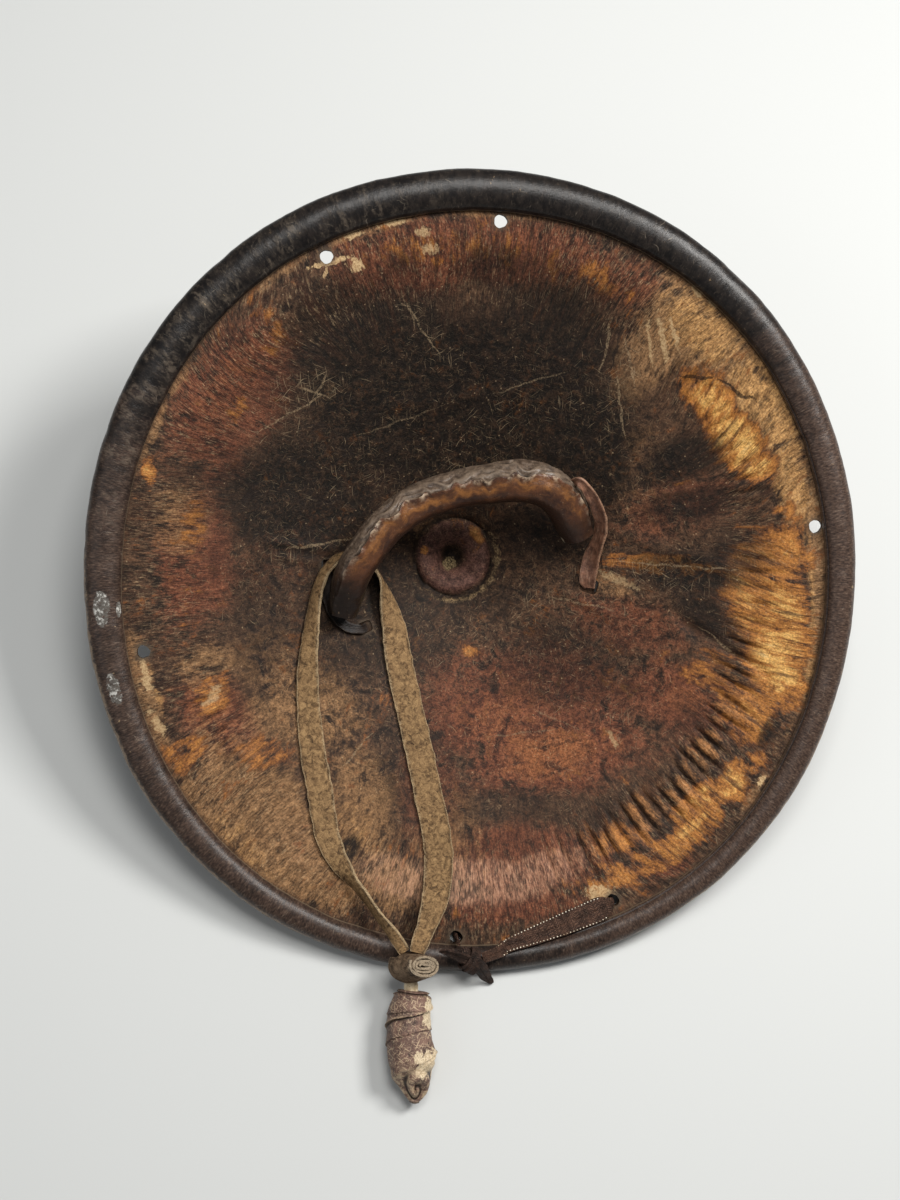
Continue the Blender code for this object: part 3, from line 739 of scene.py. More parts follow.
hide_rings = [hollow_ring(share, 4) for share in np.linspace(0.006, 0.085, 20)]
hide_rings += [hollow_ring(share, 2) for share in np.linspace(0.093, 0.30, 26)]
hide_rings += [hollow_ring(share, 1) for share in np.linspace(0.306, 0.76, 42)]
hide_rings += [hollow_ring(share, 1) for share in np.linspace(0.767, 0.935, 29)]
hide_rings += [hollow_ring(share, 1) for share in np.linspace(0.945, 1.0, 6)]
lip_radius = seam_radius(STATIONS[::2]) + BINDING
hide_rings.append(flat_points(lip_radius * np.cos(STATIONS[::2]), lip_radius * np.sin(STATIONS[::2]),
                              CREST - SEAM_DROP + 0.9))
hide_rings += [rolled_ring(turn, BINDING + 0.35) for turn in (140, 95, 45, 0, -45, -90)]
hide_rings += [outer_ring(share, 2) for share in np.linspace(0.965, 0.12, 26)]
hide_rings += [tip_ring(turn) for turn in (66, 57, 48, 39, 30, 21, 13, 6)]
hide_rings = [kept_above_ground(ring) for ring in hide_rings]
print("rings in the hide:", len(hide_rings))

# %% [markdown]
# ## The hide: its holes
#
# Lacing holes were punched right through, and short slits hold the ends of the grip's thongs.
# A real punch leaves a clean wall with a slightly sunken rim, so the holes are cut from the
# mesh with a boolean and are not painted on. One joined cutter keeps that to a single cut.

# %% Punch and slits
# how far the punch reaches each way, and how far a slit's cutter goes down and up
PUNCH_REACH = 24
SLIT_DOWN, SLIT_UP, SLIT_HALF_LENGTH = 4.0, 6.0, 5.5


def punch_rings(x, y):
    way = np.linspace(0, 2 * math.pi, 40, endpoint=False)
    wobble = 1 + 0.05 * np.cos(3 * way + x) + 0.02 * np.cos(7 * way)
    height = float(inner_height(x, y))
    px, py = x + HOLE_RADIUS * wobble * np.cos(way), y + HOLE_RADIUS * wobble * np.sin(way)
    return [flat_points(px, py, z) for z in (height - PUNCH_REACH, height + PUNCH_REACH)]


# x, y, direction in degrees, width of each slit
SLITS = [(-103.2, 4, 95, 8.6), (-76, -41.4, 20, 8.6), (89.4, -11, 72, 12.5)]


def slit_rings(x, y, direction, width):
    way = np.linspace(0, 2 * math.pi, 32, endpoint=False)
    along = SLIT_HALF_LENGTH * np.sign(np.cos(way)) * np.abs(np.cos(way)) ** 0.6
    across = width / 2 * np.sign(np.sin(way)) * np.abs(np.sin(way)) ** 0.45
    turn = math.radians(direction)
    height = float(inner_height(x, y))
    px = x + along * math.cos(turn) - across * math.sin(turn)
    py = y + along * math.sin(turn) + across * math.cos(turn)
    return [flat_points(px, py, z) for z in (height - SLIT_DOWN, height + SLIT_UP)]


def make_cutter():
    """Every hole and slit in one closed mesh, in millimetres."""
    builder = bmesh.new()
    places = [punch_rings(*hole) for hole in FREE_HOLES + TIED_HOLES]
    places += [slit_rings(*slit) for slit in SLITS]
    for low, high in places:
        below = [builder.verts.new(point * MM) for point in low]
        above = [builder.verts.new(point * MM) for point in high]
        for i in range(len(below)):
            j = (i + 1) % len(below)
            builder.faces.new((below[i], below[j], above[j], above[i]))
        builder.faces.new(below[::-1])
        builder.faces.new(above)
    bmesh.ops.recalc_face_normals(builder, faces=builder.faces)
    mesh = bpy.data.meshes.new("cutter")
    builder.to_mesh(mesh)
    builder.free()
    return bpy.data.objects.new("cutter", mesh)


def cut_out(piece, cutter):
    """Takes the cutter's shape out of the piece, and leaves no modifier behind."""
    bpy.context.scene.collection.objects.link(cutter)
    cutter.matrix_world = piece.matrix_world
    change = piece.modifiers.new("holes", "BOOLEAN")
    change.operation = "DIFFERENCE"
    change.solver = "EXACT"
    change.object = cutter
    bpy.context.view_layer.update()
    seen = piece.evaluated_get(bpy.context.evaluated_depsgraph_get())
    whole = bpy.data.meshes.new_from_object(seen)
    piece.modifiers.clear()
    piece.data = whole
    bpy.data.objects.remove(cutter)


raw = bpy.data.materials.new("raw")
hide = skin("hide_dressed", hide_rings, raw, sharp=45)
cut_out(hide, make_cutter())
print("hide has", len(hide.data.vertices), "points after the cuts")

# %% [markdown]
# ## The hide: where it is stained and worn
#
# Smoke and hands have darkened the middle, and the edge was rubbed back to pale or amber hide.
# Those places are painted on the mesh's points as soft masks, the way a brush would lay them
# down. The finish later breaks up their borders with noise, so the masks can stay simple.

# %% Brushes
def points_of(piece):
    """The mesh's points in millimetres, in the shield's frame."""
    flat = np.empty(3 * len(piece.data.vertices), np.float32)
    piece.data.vertices.foreach_get("co", flat)
    return flat.reshape(-1, 3).astype(float) / MM


def paint(piece, name, values):
    layer = piece.data.attributes.new(name, "FLOAT", "POINT")
    layer.data.foreach_set("value", np.clip(values, 0, 1).astype(np.float32))


def paint_rings(piece, marks):
    """Masks given ring by ring; the points that close the ends copy the rings beside them."""
    for name, values in marks.items():
        paint(piece, name, np.concatenate([values.ravel(), values[0, :1], values[-1, :1]]))


def paint_fan(piece, spokes):
    """Gives each point a place on a fan, which fibres follow outwards."""
    layer = piece.data.attributes.new("fan", "FLOAT_VECTOR", "POINT")
    layer.data.foreach_set("vector", spokes.astype(np.float32).ravel())


def turned_from(degrees, direction):
    """Degrees from a direction, -180 to 180."""
    return (degrees - direction + 180) % 360 - 180


def blots(place, rows):
    """Soft ovals. Each row has x, y, half length, half width, direction in degrees, strength."""
    ragged = 0.16 * rumple(place, 22, 90) + 0.10 * rumple(place, 8, 91)
    total = np.zeros(len(place))
    for x, y, long, wide, direction, strength in rows:
        turn = math.radians(direction)
        dx, dy = place[:, 0] - x, place[:, 1] - y
        along = (dx * math.cos(turn) + dy * math.sin(turn)) / long
        across = (dy * math.cos(turn) - dx * math.sin(turn)) / wide
        far = np.hypot(along, across) + ragged
        total = np.maximum(total, strength * (1 - ease(0.35, 1.35, far)))
    return total


def rim_blots(share, angle, rows):
    """Like blots, laid along the edge: direction, half spread in degrees, share, half depth, strength."""
    ragged = 0.2 * rumple(round_axis(240, angle, 200 * share), 14, 95)
    total = np.zeros(len(share))
    for direction, spread, at, depth, strength in rows:
        far = np.hypot(turned_from(np.degrees(angle), direction) / spread, (share - at) / depth)
        far = far + ragged
        total = np.maximum(total, strength * (1 - ease(0.55, 1.25, far)))
    return total


corner = np.array([[10.0, 0, 0], [14.0, 0, 0], [30.0, 0, 0]])
print("a blot's strength from its middle outwards:", np.round(blots(corner, [(10, 0, 8, 8, 0, 1.0)]), 2))


# %% Paint the hide
# where each tone and each kind of skin lies, as rows for blots, or for rim_blots along the edge
SOOT = [(-25, 118, 132, 84, 6, 1.0), (-70, 158, 80, 50, 20, 0.9), (50, 150, 74, 60, 80, 1.0),
        (82, 95, 46, 66, 8, 0.95), (-115, 56, 76, 66, 0, 0.85), (-70, -30, 76, 66, 0, 0.62),
        (152, 82, 40, 20, 20, 0.85), (160, 2, 54, 20, 0, 0.85), (172, -32, 40, 16, -35, 0.75),
        (186, -68, 26, 9, -35, 0.45), (158, -138, 32, 12, 45, 0.25), (165, -108, 26, 12, -40, 0.5),
        (212, -112, 17, 6, 62, 0.8), (190, 12, 30, 26, 0, 0.6),
        (108, -170, 50, 16, 28, 0.50), (20, -170, 90, 20, 0, 0.38), (60, 30, 56, 30, 10, 0.6),
        (-88, -196, 11, 9, 60, 0.9), (-100, 190, 50, 24, 30, 0.6), (14, 216, 30, 20, 0, 0.65),
        (-40, -140, 40, 60, 0, 0.45), (-150, -20, 30, 60, 0, 0.5), (70, -66, 70, 40, 0, 0.52),
        (0, -20, 60, 24, 0, 0.5), (-190, 70, 30, 40, 0, 0.35), (-178, 11, 20, 22, 0, 0.4),
        (197, 10, 16, 10, 20, 0.7), (-51, 218, 16, 12, 0, 0.5), (-165, 168, 14, 10, 40, 0.5),
        (160, 50, 40, 16, 10, 0.75), (-4, -22, 34, 10, 10, 0.5)]
TAN = [(142, 174, 44, 28, 55, 0.95), (175, 160, 44, 26, -45, 1.0), (208, 118, 46, 20, -60, 1.0),
       (230, 62, 38, 16, -78, 0.95), (114, 150, 36, 20, 80, 0.5), (-150, -170, 74, 36, -52, 1.1),
       (-120, -210, 56, 26, -28, 0.9), (-84, -172, 40, 52, 0, 0.7), (-185, -128, 34, 22, -60, 0.6),
       (-62, -222, 40, 24, 0, 0.7), (-120, -100, 54, 42, 0, 0.55), (-188, -62, 26, 17, 20, 0.6),
       (-20, -190, 34, 40, 0, 0.45), (92, -229, 10, 9, 0, 1.0), (-205, 40, 30, 24, 90, 0.55),
       (118, 78, 28, 46, 12, 0.25), (-30, 30, 22, 10, 10, 0.35), (-110, 130, 20, 14, 0, 0.35),
       (-150, -60, 40, 30, 0, 0.35), (104, -10, 22, 10, -10, 0.5)]
PALE = [(150, 182, 26, 14, 60, 0.5), (165, 172, 40, 20, -45, 0.8), (208, 120, 48, 22, -60, 1.1),
        (226, 55, 50, 16, -82, 1.0), (-215, -85, 30, 10, -70, 0.6), (92, -229, 10, 9, 0, 0.6),
        (-165, -190, 40, 12, -50, 0.35), (238, -40, 60, 8, 90, 1.0), (-90, -190, 24, 40, 0, 0.3)]
TAN_AT_EDGE = [(-4, 24, 0.985, 0.024, 0.95), (18, 20, 0.96, 0.035, 0.8), (40, 18, 0.97, 0.05, 0.8),
               (199, 11, 0.985, 0.045, 0.85), (156, 7, 0.995, 0.022, 0.7), (146, 5, 0.995, 0.02, 0.5),
               (106, 10, 0.993, 0.018, 0.6), (88, 10, 0.995, 0.018, 0.5), (122, 9, 0.993, 0.018, 0.55),
               (228, 20, 0.98, 0.05, 0.8), (-38, 4, 0.985, 0.02, 0.8), (52, 7, 0.985, 0.03, 0.8)]
AMBER = [(168, 127, 26, 16, -45, 0.95), (188, 96, 28, 18, -38, 1.15), (198, 78, 20, 13, -20, 1.0),
         (206, -10, 48, 26, 90, 0.75), (220, -50, 50, 24, 84, 0.98), (226, 22, 36, 18, 90, 0.62),
         (196, -92, 28, 20, 0, 0.6), (188, -148, 32, 14, 45, 0.75), (152, -190, 40, 13, 40, 0.70),
         (112, -214, 40, 12, 20, 0.5), (208, -104, 26, 12, 60, 0.65), (157, -181, 22, 5, 40, 1.15),
         (110, -190, 22, 14, 20, 0.5), (160, -165, 24, 10, 45, 0.85), (8, 25, 8, 5, -48, 0.85),
         (-31, 15, 5, 4, 20, 0.75), (-184, -84, 18, 13, 60, 0.6), (-204, -124, 18, 17, 0, 0.6),
         (2, -60, 7, 5, 10, 0.45), (-150, -128, 26, 17, 0, 0.45), (140, 6, 50, 8, -3, 0.65),
         (-140, 165, 20, 8, 60, 0.25), (-166, 116, 20, 7, 70, 0.35), (-196, 30, 30, 10, 90, 0.36),
         (-226, 76, 6, 13, 0, 0.7), (172, -72, 24, 16, -30, 0.5), (-20, 228, 70, 12, 0, 0.35),
         (70, 214, 50, 12, -20, 0.25)]
RED = [(-170, 125, 64, 40, 55, 1.0), (-40, 224, 66, 28, 10, 0.95), (30, 228, 80, 24, -6, 0.95),
       (-196, 10, 30, 56, 0, 0.9), (-182, -105, 42, 28, -60, 0.9), (50, -90, 90, 44, 0, 0.7),
       (60, -128, 74, 34, 6, 1.0), (10, -110, 54, 30, 0, 0.85), (150, -90, 50, 34, -20, 0.7),
       (40, -205, 66, 28, 0, 0.9), (30, -238, 66, 14, 4, 0.9), (150, 50, 56, 26, 20, 0.5),
       (-30, -160, 30, 54, 0, 0.6), (-140, 12, 54, 24, 20, 0.3),
       (120, -40, 56, 24, -10, 0.55), (110, 205, 30, 20, 0, 0.6), (140, -208, 22, 12, 20, 0.8)]
GLOW = [(58, -132, 52, 24, 6, 0.75), (20, -112, 46, 20, 0, 0.5), (104, -125, 20, 12, -50, 0.5),
        (120, -166, 34, 12, 45, 0.6), (160, -92, 24, 17, 0, 0.6), (40, -90, 44, 20, 0, 0.45),
        (-170, 140, 40, 20, 60, 0.4), (-185, -100, 38, 20, -60, 0.65), (60, 205, 60, 12, -20, 0.4)]
# painted sheen: lighter satin patches on the lower wall, where the lamp above shines off it
PAINTED_SHEEN = [(-5, -222, 70, 18, 0, 1.5), (50, -215, 46, 16, 20, 1.0), (-60, -212, 36, 16, 0, 0.8),
         (-165, -115, 34, 16, -60, 0.42), (-120, -190, 40, 22, -40, 0.4), (125, -180, 26, 14, 40, 0.4)]
HAIRY = [(-112, 132, 40, 16, 10, 1.0), (-140, 106, 34, 12, 35, 0.9), (-34, 172, 40, 12, -52, 0.7),
         (-128, 20, 34, 12, 8, 0.8), (40, 120, 50, 18, 12, 0.6), (104, 130, 50, 16, 85, 0.8),
         (-60, 60, 60, 24, 0, 0.4), (70, -25, 50, 16, -8, 0.7), (110, -115, 20, 30, 20, 0.6),
         (-30, -60, 60, 40, 0, 0.35), (10, 90, 60, 30, 0, 0.4), (120, 0, 70, 14, -5, 0.7)]


def lacing_marks(place):
    """1 in and at the lip of each hole and slit."""
    near = np.full(len(place), 99.0)
    for x, y in FREE_HOLES + TIED_HOLES:
        near = np.minimum(near, np.hypot(place[:, 0] - x, place[:, 1] - y) - HOLE_RADIUS)
    for x, y, _, _ in SLITS:
        near = np.minimum(near, np.hypot(place[:, 0] - x, place[:, 1] - y) - 4)
    return 1 - ease(0.3, 3.5, near)


def paint_hide(piece):
    place = points_of(piece)
    x, y, z = place.T
    share, angle = share_at(x, y), np.arctan2(y, x)
    flat = flat_points(x, y)
    outside = ease(1.2, 2.6, cone_height(share) - z) * ease(0.02, 0.12, share)
    outside = np.maximum(outside, ease(0.995, 1.004, np.hypot(x, y) / seam_radius(angle)))
    outside = np.where((share < 0.12) & (z > 5), 0, np.where(z < 5, 1, outside))
    way = np.arctan2(y - BOSS_AT[1] * (1 - share), x - BOSS_AT[0] * (1 - share))
    valley, crest = pleat_wave(way, share)
    paint(piece, "tan", np.maximum(blots(flat, TAN), rim_blots(share, angle, TAN_AT_EDGE)))
    for name, rows in (("soot", SOOT), ("pale", PALE), ("amber", AMBER), ("red", RED), ("glow", GLOW),
                       ("painted_sheen", PAINTED_SHEEN), ("hairy", HAIRY)):
        paint(piece, name, blots(flat, rows))
    paint(piece, "valley", valley)
    paint(piece, "crest", crest)
    paint(piece, "outside", outside)
    paint(piece, "lacing", lacing_marks(place))
    paint(piece, "share", share)
    far = np.hypot(x - BOSS_AT[0], y - BOSS_AT[1]) + 0.8 * rumple(flat, 7, 96)
    lower_right = 0.35 + 0.65 * ease(-0.5, 0.7, np.cos(way + 0.75))
    paint(piece, "ring", ease(6, 12, far) * (1 - ease(26.5, 29.0, far)))
    paint(piece, "pit", 1 - ease(5.5, 11, far))
    paint(piece, "groove", np.exp(-((far - 29.6) / 1.5) ** 2))
    paint(piece, "halo", np.exp(-((far - 33.2) / 2.8) ** 2) * lower_right)
    swirl = 0.10 * rumple(flat, 80, 97, 1)
    paint_fan(piece, round_axis(230, angle + swirl, np.hypot(x, y)))


paint_hide(hide)
print("masks:", [layer.name for layer in hide.data.attributes if layer.domain == "POINT"])

# %% [markdown]
# ## The hide: its finish
#
# Seen close, rawhide is a felt of short pale fibres in a dark, glassy ground. The recipe lays
# them down in the order that time did: tanned ground in three browns, soot, amber where the
# skin turned clear, bare tan where it was rubbed, then fibres, cracks, specks and dust. Near
# the edge the fibres follow the stretch of the skin, outwards like spokes; further in they lie
# in every direction.

# %% Marks that stand alone
# thin scratches, and thicker scuffs and chips in bared hide, and cracks:
# x, y, half length, half width, direction in degrees, strength
SCRATCHES = [(-36, 176, 26, 0.7, -52, 0.6), (-128, 115, 28, 0.7, 30, 0.6), (-112, 130, 14, 0.8, -20, 0.6),
             (-108, 134, 12, 0.8, 62, 0.5), (42, 137, 26, 0.7, 17, 0.5), (-44, 186, 16, 0.7, -70, 0.5),
             (113, 150, 20, 0.9, -77, 0.6), (108, 120, 26, 0.9, -80, 0.6), (96, 165, 20, 1.0, 80, 0.6),
             (83, -24, 26, 0.9, -10, 0.6), (-108, 21, 26, 1.0, 9, 0.6), (-82, -128, 18, 0.8, 45, 0.6),
             (186, -54, 28, 0.8, -36, 0.6), (150, 5, 46, 0.8, -3, 0.6), (40, -118, 28, 0.7, 8, 0.4),
             (64, -108, 20, 0.7, -20, 0.4), (-50, 110, 40, 0.6, 20, 0.35), (10, 70, 34, 0.6, -25, 0.35)]
SCUFFS = [(-100, 219, 14, 1.8, 15, 0.9), (-81, 217, 5, 4.5, 0, 0.9), (-103, 213, 6, 1.3, 80, 0.7),
          (135, 167, 19, 2.0, -77, 0.7), (126, 166, 15, 1.4, -80, 0.6), (143, 170, 13, 1.6, -72, 0.7),
          (104, -121, 6, 2.0, -60, 0.45), (-185, -85, 9, 4.0, 50, 0.5), (208, -147, 6, 2.2, 60, 1.0),
          (157, 200, 7, 2.0, -48, 0.9), (168, 192, 5, 2.0, -48, 0.9), (92, -229, 9, 7.0, 10, 0.8),
          (-85, 238, 8, 2.4, 12, 0.8), (-56, 246, 10, 2.0, 10, 0.8), (-34, 240, 5, 3.5, 0, 0.6),
          (-30, 229, 4, 4.0, 0, 0.6), (-228, 104, 10, 3.0, 72, 0.7), (-230, -70, 12, 3.0, 104, 0.8),
          (-222, -104, 10, 3.0, 118, 0.7), (110, -6, 14, 3.4, -20, 0.4)]
CRACKS = [(160, 141, 13, 1.3, 3, 0.9), (186, 132, 17, 1.3, -32, 0.9), (188, -53, 28, 0.9, -36, 0.3),
          (176, -40, 20, 0.9, -42, 0.35), (-92, -195, 8, 1.6, 60, 0.9), (-85, -198, 8, 1.4, 70, 0.8),
          (60, -126, 26, 0.9, 10, 0.5), (104, 165, 24, 1.2, 78, 0.7), (97, 120, 30, 1.4, 88, 0.5)]
print("scratches, scuffs and cracks:", len(SCRATCHES), len(SCUFFS), len(CRACKS))


# %% Mix the finish of the hide
def hide_finish():
    mix = Finish("pressed_hide", IOR=1.5, Specular_IOR_Level=0.15)
    fan = mix.add("Attribute", attribute_name="fan").outputs["Vector"]
    outer = mix.step(mix.painted("share"), 0.60, 0.84)

    def either(inside, at_edge):
        return mix.add("Mix", [(0, outer), (2, inside), (3, at_edge)]).outputs[0]

    def spokes(across, along, detail=2.5, rough=0.6):
        return mix.noise(mix.stretch(fan, (1 / across, 1 / across, 1 / along)), detail, rough)

    blotch = either(mix.cloud(16, 8, 0.70, twist=0.8), spokes(9, 15, 8, 0.70))
    mottle = either(mix.cloud(5.5, 6, 0.72, twist=0.4), spokes(3.0, 7, 6, 0.72))
    fine = mix.cloud(1.5, 4, 0.75)
    flat_place = mix.stretch(mix.place, (1, 1, 0.1))
    felt = [mix.fibres(length, width, turn, 5, flat_place)
            for length, width, turn in ((6.5, 0.9, 15), (7, 0.95, 66), (6, 0.9, 112), (7, 0.9, 160))]
    strands = either(mix.plus(mix.most(*felt), -0.10), spokes(0.85, 5.0, 3, 0.65))

    def ragged(name, coarse=1.8, small=0.9):
        """A painted mask with its slopes broken up by noise."""
        value = mix.graded(blotch, coarse, mix.painted(name))
        value = mix.graded(mottle, small, value)
        return mix.calc("SUBTRACT", value, 0.5 * (coarse + small))

    def border(name, low, high, coarse=1.8, small=0.9):
        return mix.step(ragged(name, coarse, small), low, high)

    def marks(rows, fray, vector, noise):
        return mix.most(*[mix.times(mix.oval(*row[:5], noise, fray, vector), row[5]) for row in rows])

    # the tanned ground, from dark to red
    mix.ground = mix.shaded((0.022, 0.013, 0.009), (0.105, 0.056, 0.032), mottle, 0.34, 0.66)
    red = mix.shaded((0.050, 0.017, 0.011), (0.215, 0.073, 0.037), mottle, 0.32, 0.70)
    mix.lay(red, border("red", 0.10, 0.80), 0.9)
    mix.lay((0.31, 0.115, 0.042), border("glow", 0.30, 1.15), 0.75)

    # bared tan, then amber that runs from deep brown at its border to yellow
    bare = border("tan", 0.15, 0.80)
    dry = mix.shaded((0.110, 0.058, 0.027), (0.310, 0.172, 0.082), mottle, 0.30, 0.68)
    pale = mix.shaded((0.21, 0.105, 0.038), (0.52, 0.290, 0.112), mottle, 0.32, 0.68)
    dry = mix.over(dry, pale, border("pale", 0.15, 0.85))
    mix.lay(dry, bare, 0.92)
    amber = mix.graded(mix.cloud(28, 3, 0.6), 1.1, ragged("amber", 2.0, 0.9))
    amber = mix.graded(spokes(5.0, 26, 4, 0.6), 1.0, amber)
    amber = mix.calc("SUBTRACT", amber, 1.06)
    clear = mix.shaded((0.120, 0.042, 0.016), (0.370, 0.150, 0.036), amber, 0.25, 0.75)
    clear = mix.shaded(clear, (0.66, 0.375, 0.115), amber, 0.72, 1.20)
    clear = mix.shaded(clear, (0.82, 0.57, 0.250), amber, 1.15, 1.60)
    cover = mix.step(amber, 0.15, 0.45)
    mix.lay(clear, cover, 0.95)

    # soot over all of it in blots, and painted shade in the valleys of the pleats
    ring = mix.painted("ring")
    soot = mix.times(border("soot", 0.15, 0.85), mix.calc("SUBTRACT", 1.0, ring))
    thick = mix.graded(mix.step(mottle, 0.60, 0.40), 0.22, 0.76)
    mix.lay((0.007, 0.0055, 0.0045), soot, thick)
    smooth = mix.most(mix.times(mix.painted("glow"), 0.5), mix.painted("painted_sheen"))
    smooth = mix.graded(smooth, -0.75, 1.0)
    smears = mix.times(mix.step(blotch, 0.48, 0.38), mix.graded(cover, -0.45, 0.80), smooth)
    smears = mix.times(smears, mix.graded(bare, -0.40, 1.0))
    mix.lay(SMOKE, smears)
    purple = mix.shaded((0.045, 0.022, 0.018), (0.150, 0.072, 0.055), mottle, 0.32, 0.66)
    mix.lay(purple, ring, mix.graded(cover, -0.8, 0.95))
    # painted shade: the pit in the boss and the groove round it are darkened
    mix.lay((0.007, 0.005, 0.004), mix.painted("pit"), 0.85)
    mix.lay(SHADE, mix.painted("groove"), 0.9)
    outline = mix.frayed("halo", mottle, 2.6)
    mix.lay((0.21, 0.145, 0.075), mix.step(outline, 0.45, 1.1), mix.step(fine, 0.34, 0.60), 0.9)
    # painted light: the lower floor of the pit, which faces up, is lightened
    floor_of_pit = mix.oval(-12, 3, 5.5, 4.5, 20, mottle, 2.4)
    mix.lay((0.26, 0.19, 0.10), floor_of_pit, mix.step(fine, 0.36, 0.56))
    dark_streaks = mix.times(mix.step(spokes(4.2, 34, 6, 0.68), 0.50, 0.37), outer)
    mix.lay((0.034, 0.015, 0.009), dark_streaks, mix.graded(bare, -0.40, 0.74))
    # painted shade: the valleys between the pleats are darkened
    valley_shade = mix.frayed("valley", mottle, 1.0)
    mix.lay((0.020, 0.011, 0.008), mix.step(valley_shade, 0.45, 1.1), 0.66)
    # the crests of the pleats are lightened: rubbed hide, with a painted highlight
    rubbed_and_highlit_crests = mix.frayed("crest", mottle, 1.6)
    mix.lay((0.46, 0.205, 0.072), mix.step(rubbed_and_highlit_crests, 0.45, 1.25), 0.72)

    # fibres, hairs and specks
    shade = mix.step(strands, 0.49, 0.36)
    mix.lay(SHADE, shade, mix.graded(cover, -0.22, 0.50))
    bright = mix.step(strands, 0.53, 0.68)
    amount = mix.graded(mix.step(mix.cloud(22, 5, 0.65), 0.35, 0.65), 0.28, 0.08)
    amount = mix.times(amount, mix.graded(mix.most(soot, cover), -0.45, 1.0))
    mix.lay((0.46, 0.33, 0.19), bright, amount)
    grain = mix.shaded((0.45, 0.43, 0.42), (1.65, 1.65, 1.62), fine, 0.28, 0.72)
    mix.lay(grain, 0.85, how="MULTIPLY")
    long_hairs = [mix.fibres(length, 0.65, turn, 10, flat_place)
                  for length, turn in ((15, 24), (18, 84), (16, 141))]
    hairs = mix.graded(mix.painted("hairy"), 0.05, mix.most(*long_hairs))
    where = mix.plus(mix.cloud(26, 4, 0.6, twist=1.0), mix.times(mix.painted("hairy"), 0.2))
    lines = mix.times(mix.step(hairs, 0.68, 0.76), mix.step(where, 0.47, 0.62))
    mix.lay((0.34, 0.25, 0.15), lines, 0.50)
    specks = mix.times(mix.step(mix.cells(4.4), 0.16, 0.08), mix.step(mottle, 0.50, 0.60))
    mix.lay((0.50, 0.37, 0.22), specks, 0.40)
    bent = mix.wander(mix.place, 11, 9)
    mix.lay(SMOKE, marks(CRACKS, 1.2, bent, fine), 0.85)
    scratches = marks(SCRATCHES, 1.6, mix.wander(mix.place, 14, 6), mottle)
    mix.lay((0.34, 0.245, 0.145), scratches, mix.step(fine, 0.38, 0.60), 0.75)
    scuffed = mix.shaded((0.26, 0.145, 0.062), (0.58, 0.41, 0.22), fine, 0.30, 0.62)
    mix.lay(scuffed, marks(SCUFFS, 3.6, mix.wander(mix.place, 5, 4.5), mottle))

    lip = mix.painted("lacing")
    mix.lay((0.085, 0.062, 0.042), lip, 0.7)
    hairy = mix.shaded((0.024, 0.014, 0.009), (0.080, 0.040, 0.021), blotch, 0.35, 0.7)
    hairy = mix.over(hairy, (0.24, 0.145, 0.075), mix.times(bright, 0.35))
    mix.lay(hairy, mix.painted("outside"))

    # painted sheen on the lower wall of the hollow; the same mask also makes that place less rough
    satin_and_painted_sheen = border("painted_sheen", 0.25, 1.55, 1.0, 0.6)
    painted_glint = mix.graded(mix.step(mix.plus(strands, mottle), 0.84, 1.26), 0.74, 0.14)
    mix.lay((0.55, 0.30, 0.185), satin_and_painted_sheen, painted_glint)
    dull = mix.graded(fine, 0.25, 0.50)
    dull = mix.plus(dull, mix.times(bare, 0.08))
    dull = mix.calc("SUBTRACT", dull, mix.times(satin_and_painted_sheen, 0.27))
    dull = mix.calc("SUBTRACT", dull, mix.times(cover, 0.12))
    normal = mix.raised(strands, 0.34)
    return mix.finish(dull, mix.raised(mottle, 0.8, normal))


dress(hide, hide_finish(), "pressed_hide", "hide")

# %% [markdown]
# ## The binding
#
# The bead is the rolled edge of the hide, and a strip of thin dark leather is stretched over it
# and tucked in. Stretched leather puckers across its length, so the skin gets fine ribs over
# the bead, soft dents, and a thin lip where it meets the hide. The section is walked round in
# small steps and swept along the edge, so the lip and the ribs are real form.

# %% Sweep the binding
FOLD_TURN = 158


def fold_depth(angle):
    """The fold just outside the seam is deep on the right and nearly gone on the left."""
    return 0.15 + 0.85 * ease(0.25, 0.8, np.cos(angle + 0.45))


def binding_ring(turn, inset, every=1):
    """One line round the shield at an angle of the bead's section."""
    angle = STATIONS[::every]
    ring = rolled_ring(turn, inset, every)
    round_edge = round_axis(260, angle, turn * 0.25)
    outward = math.cos(math.radians(turn))
    upward = math.sin(math.radians(turn))
    show = float(ease(-80, -30, turn)) if inset == 0 else 0.0
    swell = 0.55 * rumple(round_edge, 46, 20) + 0.22 * rumple(round_edge * [1, 1, 0.3], 9, 21, 1)
    ribs = 0.14 * rumple(round_edge * [1, 1, 0.25], 3.6, 22, 1)
    fold = -1.1 * math.exp(-((turn - FOLD_TURN) / 4) ** 2) * fold_depth(angle)
    dents = -0.7 * ease(0.35, 0.8, rumple(round_edge, 24, 23))
    out = (swell + ribs + fold + dents) * show
    return ring + flat_points(np.cos(angle) * outward * out, np.sin(angle) * outward * out, upward * out)


OUTSIDE_TURNS = [187, 183, 178, 173, 168, 164, 161, 158, 155, 152, 148, 141, 133, 123, 113, 102, 92, 82,
                 72, 61, 50, 38, 26, 14, 0, -14, -28, -44, -60, -76, -90]
INSIDE_TURNS = [-90, -50, -10, 30, 70, 105, 140, 178]
binding_rings = [binding_ring(turn, 0) for turn in OUTSIDE_TURNS]
binding_rings += [binding_ring(turn, BINDING) for turn in INSIDE_TURNS]
binding_rings = [kept_above_ground(ring) for ring in binding_rings]
binding = skin("binding", binding_rings, raw, round_again=True, sharp=70)
print("lines round the bead:", len(binding_rings))


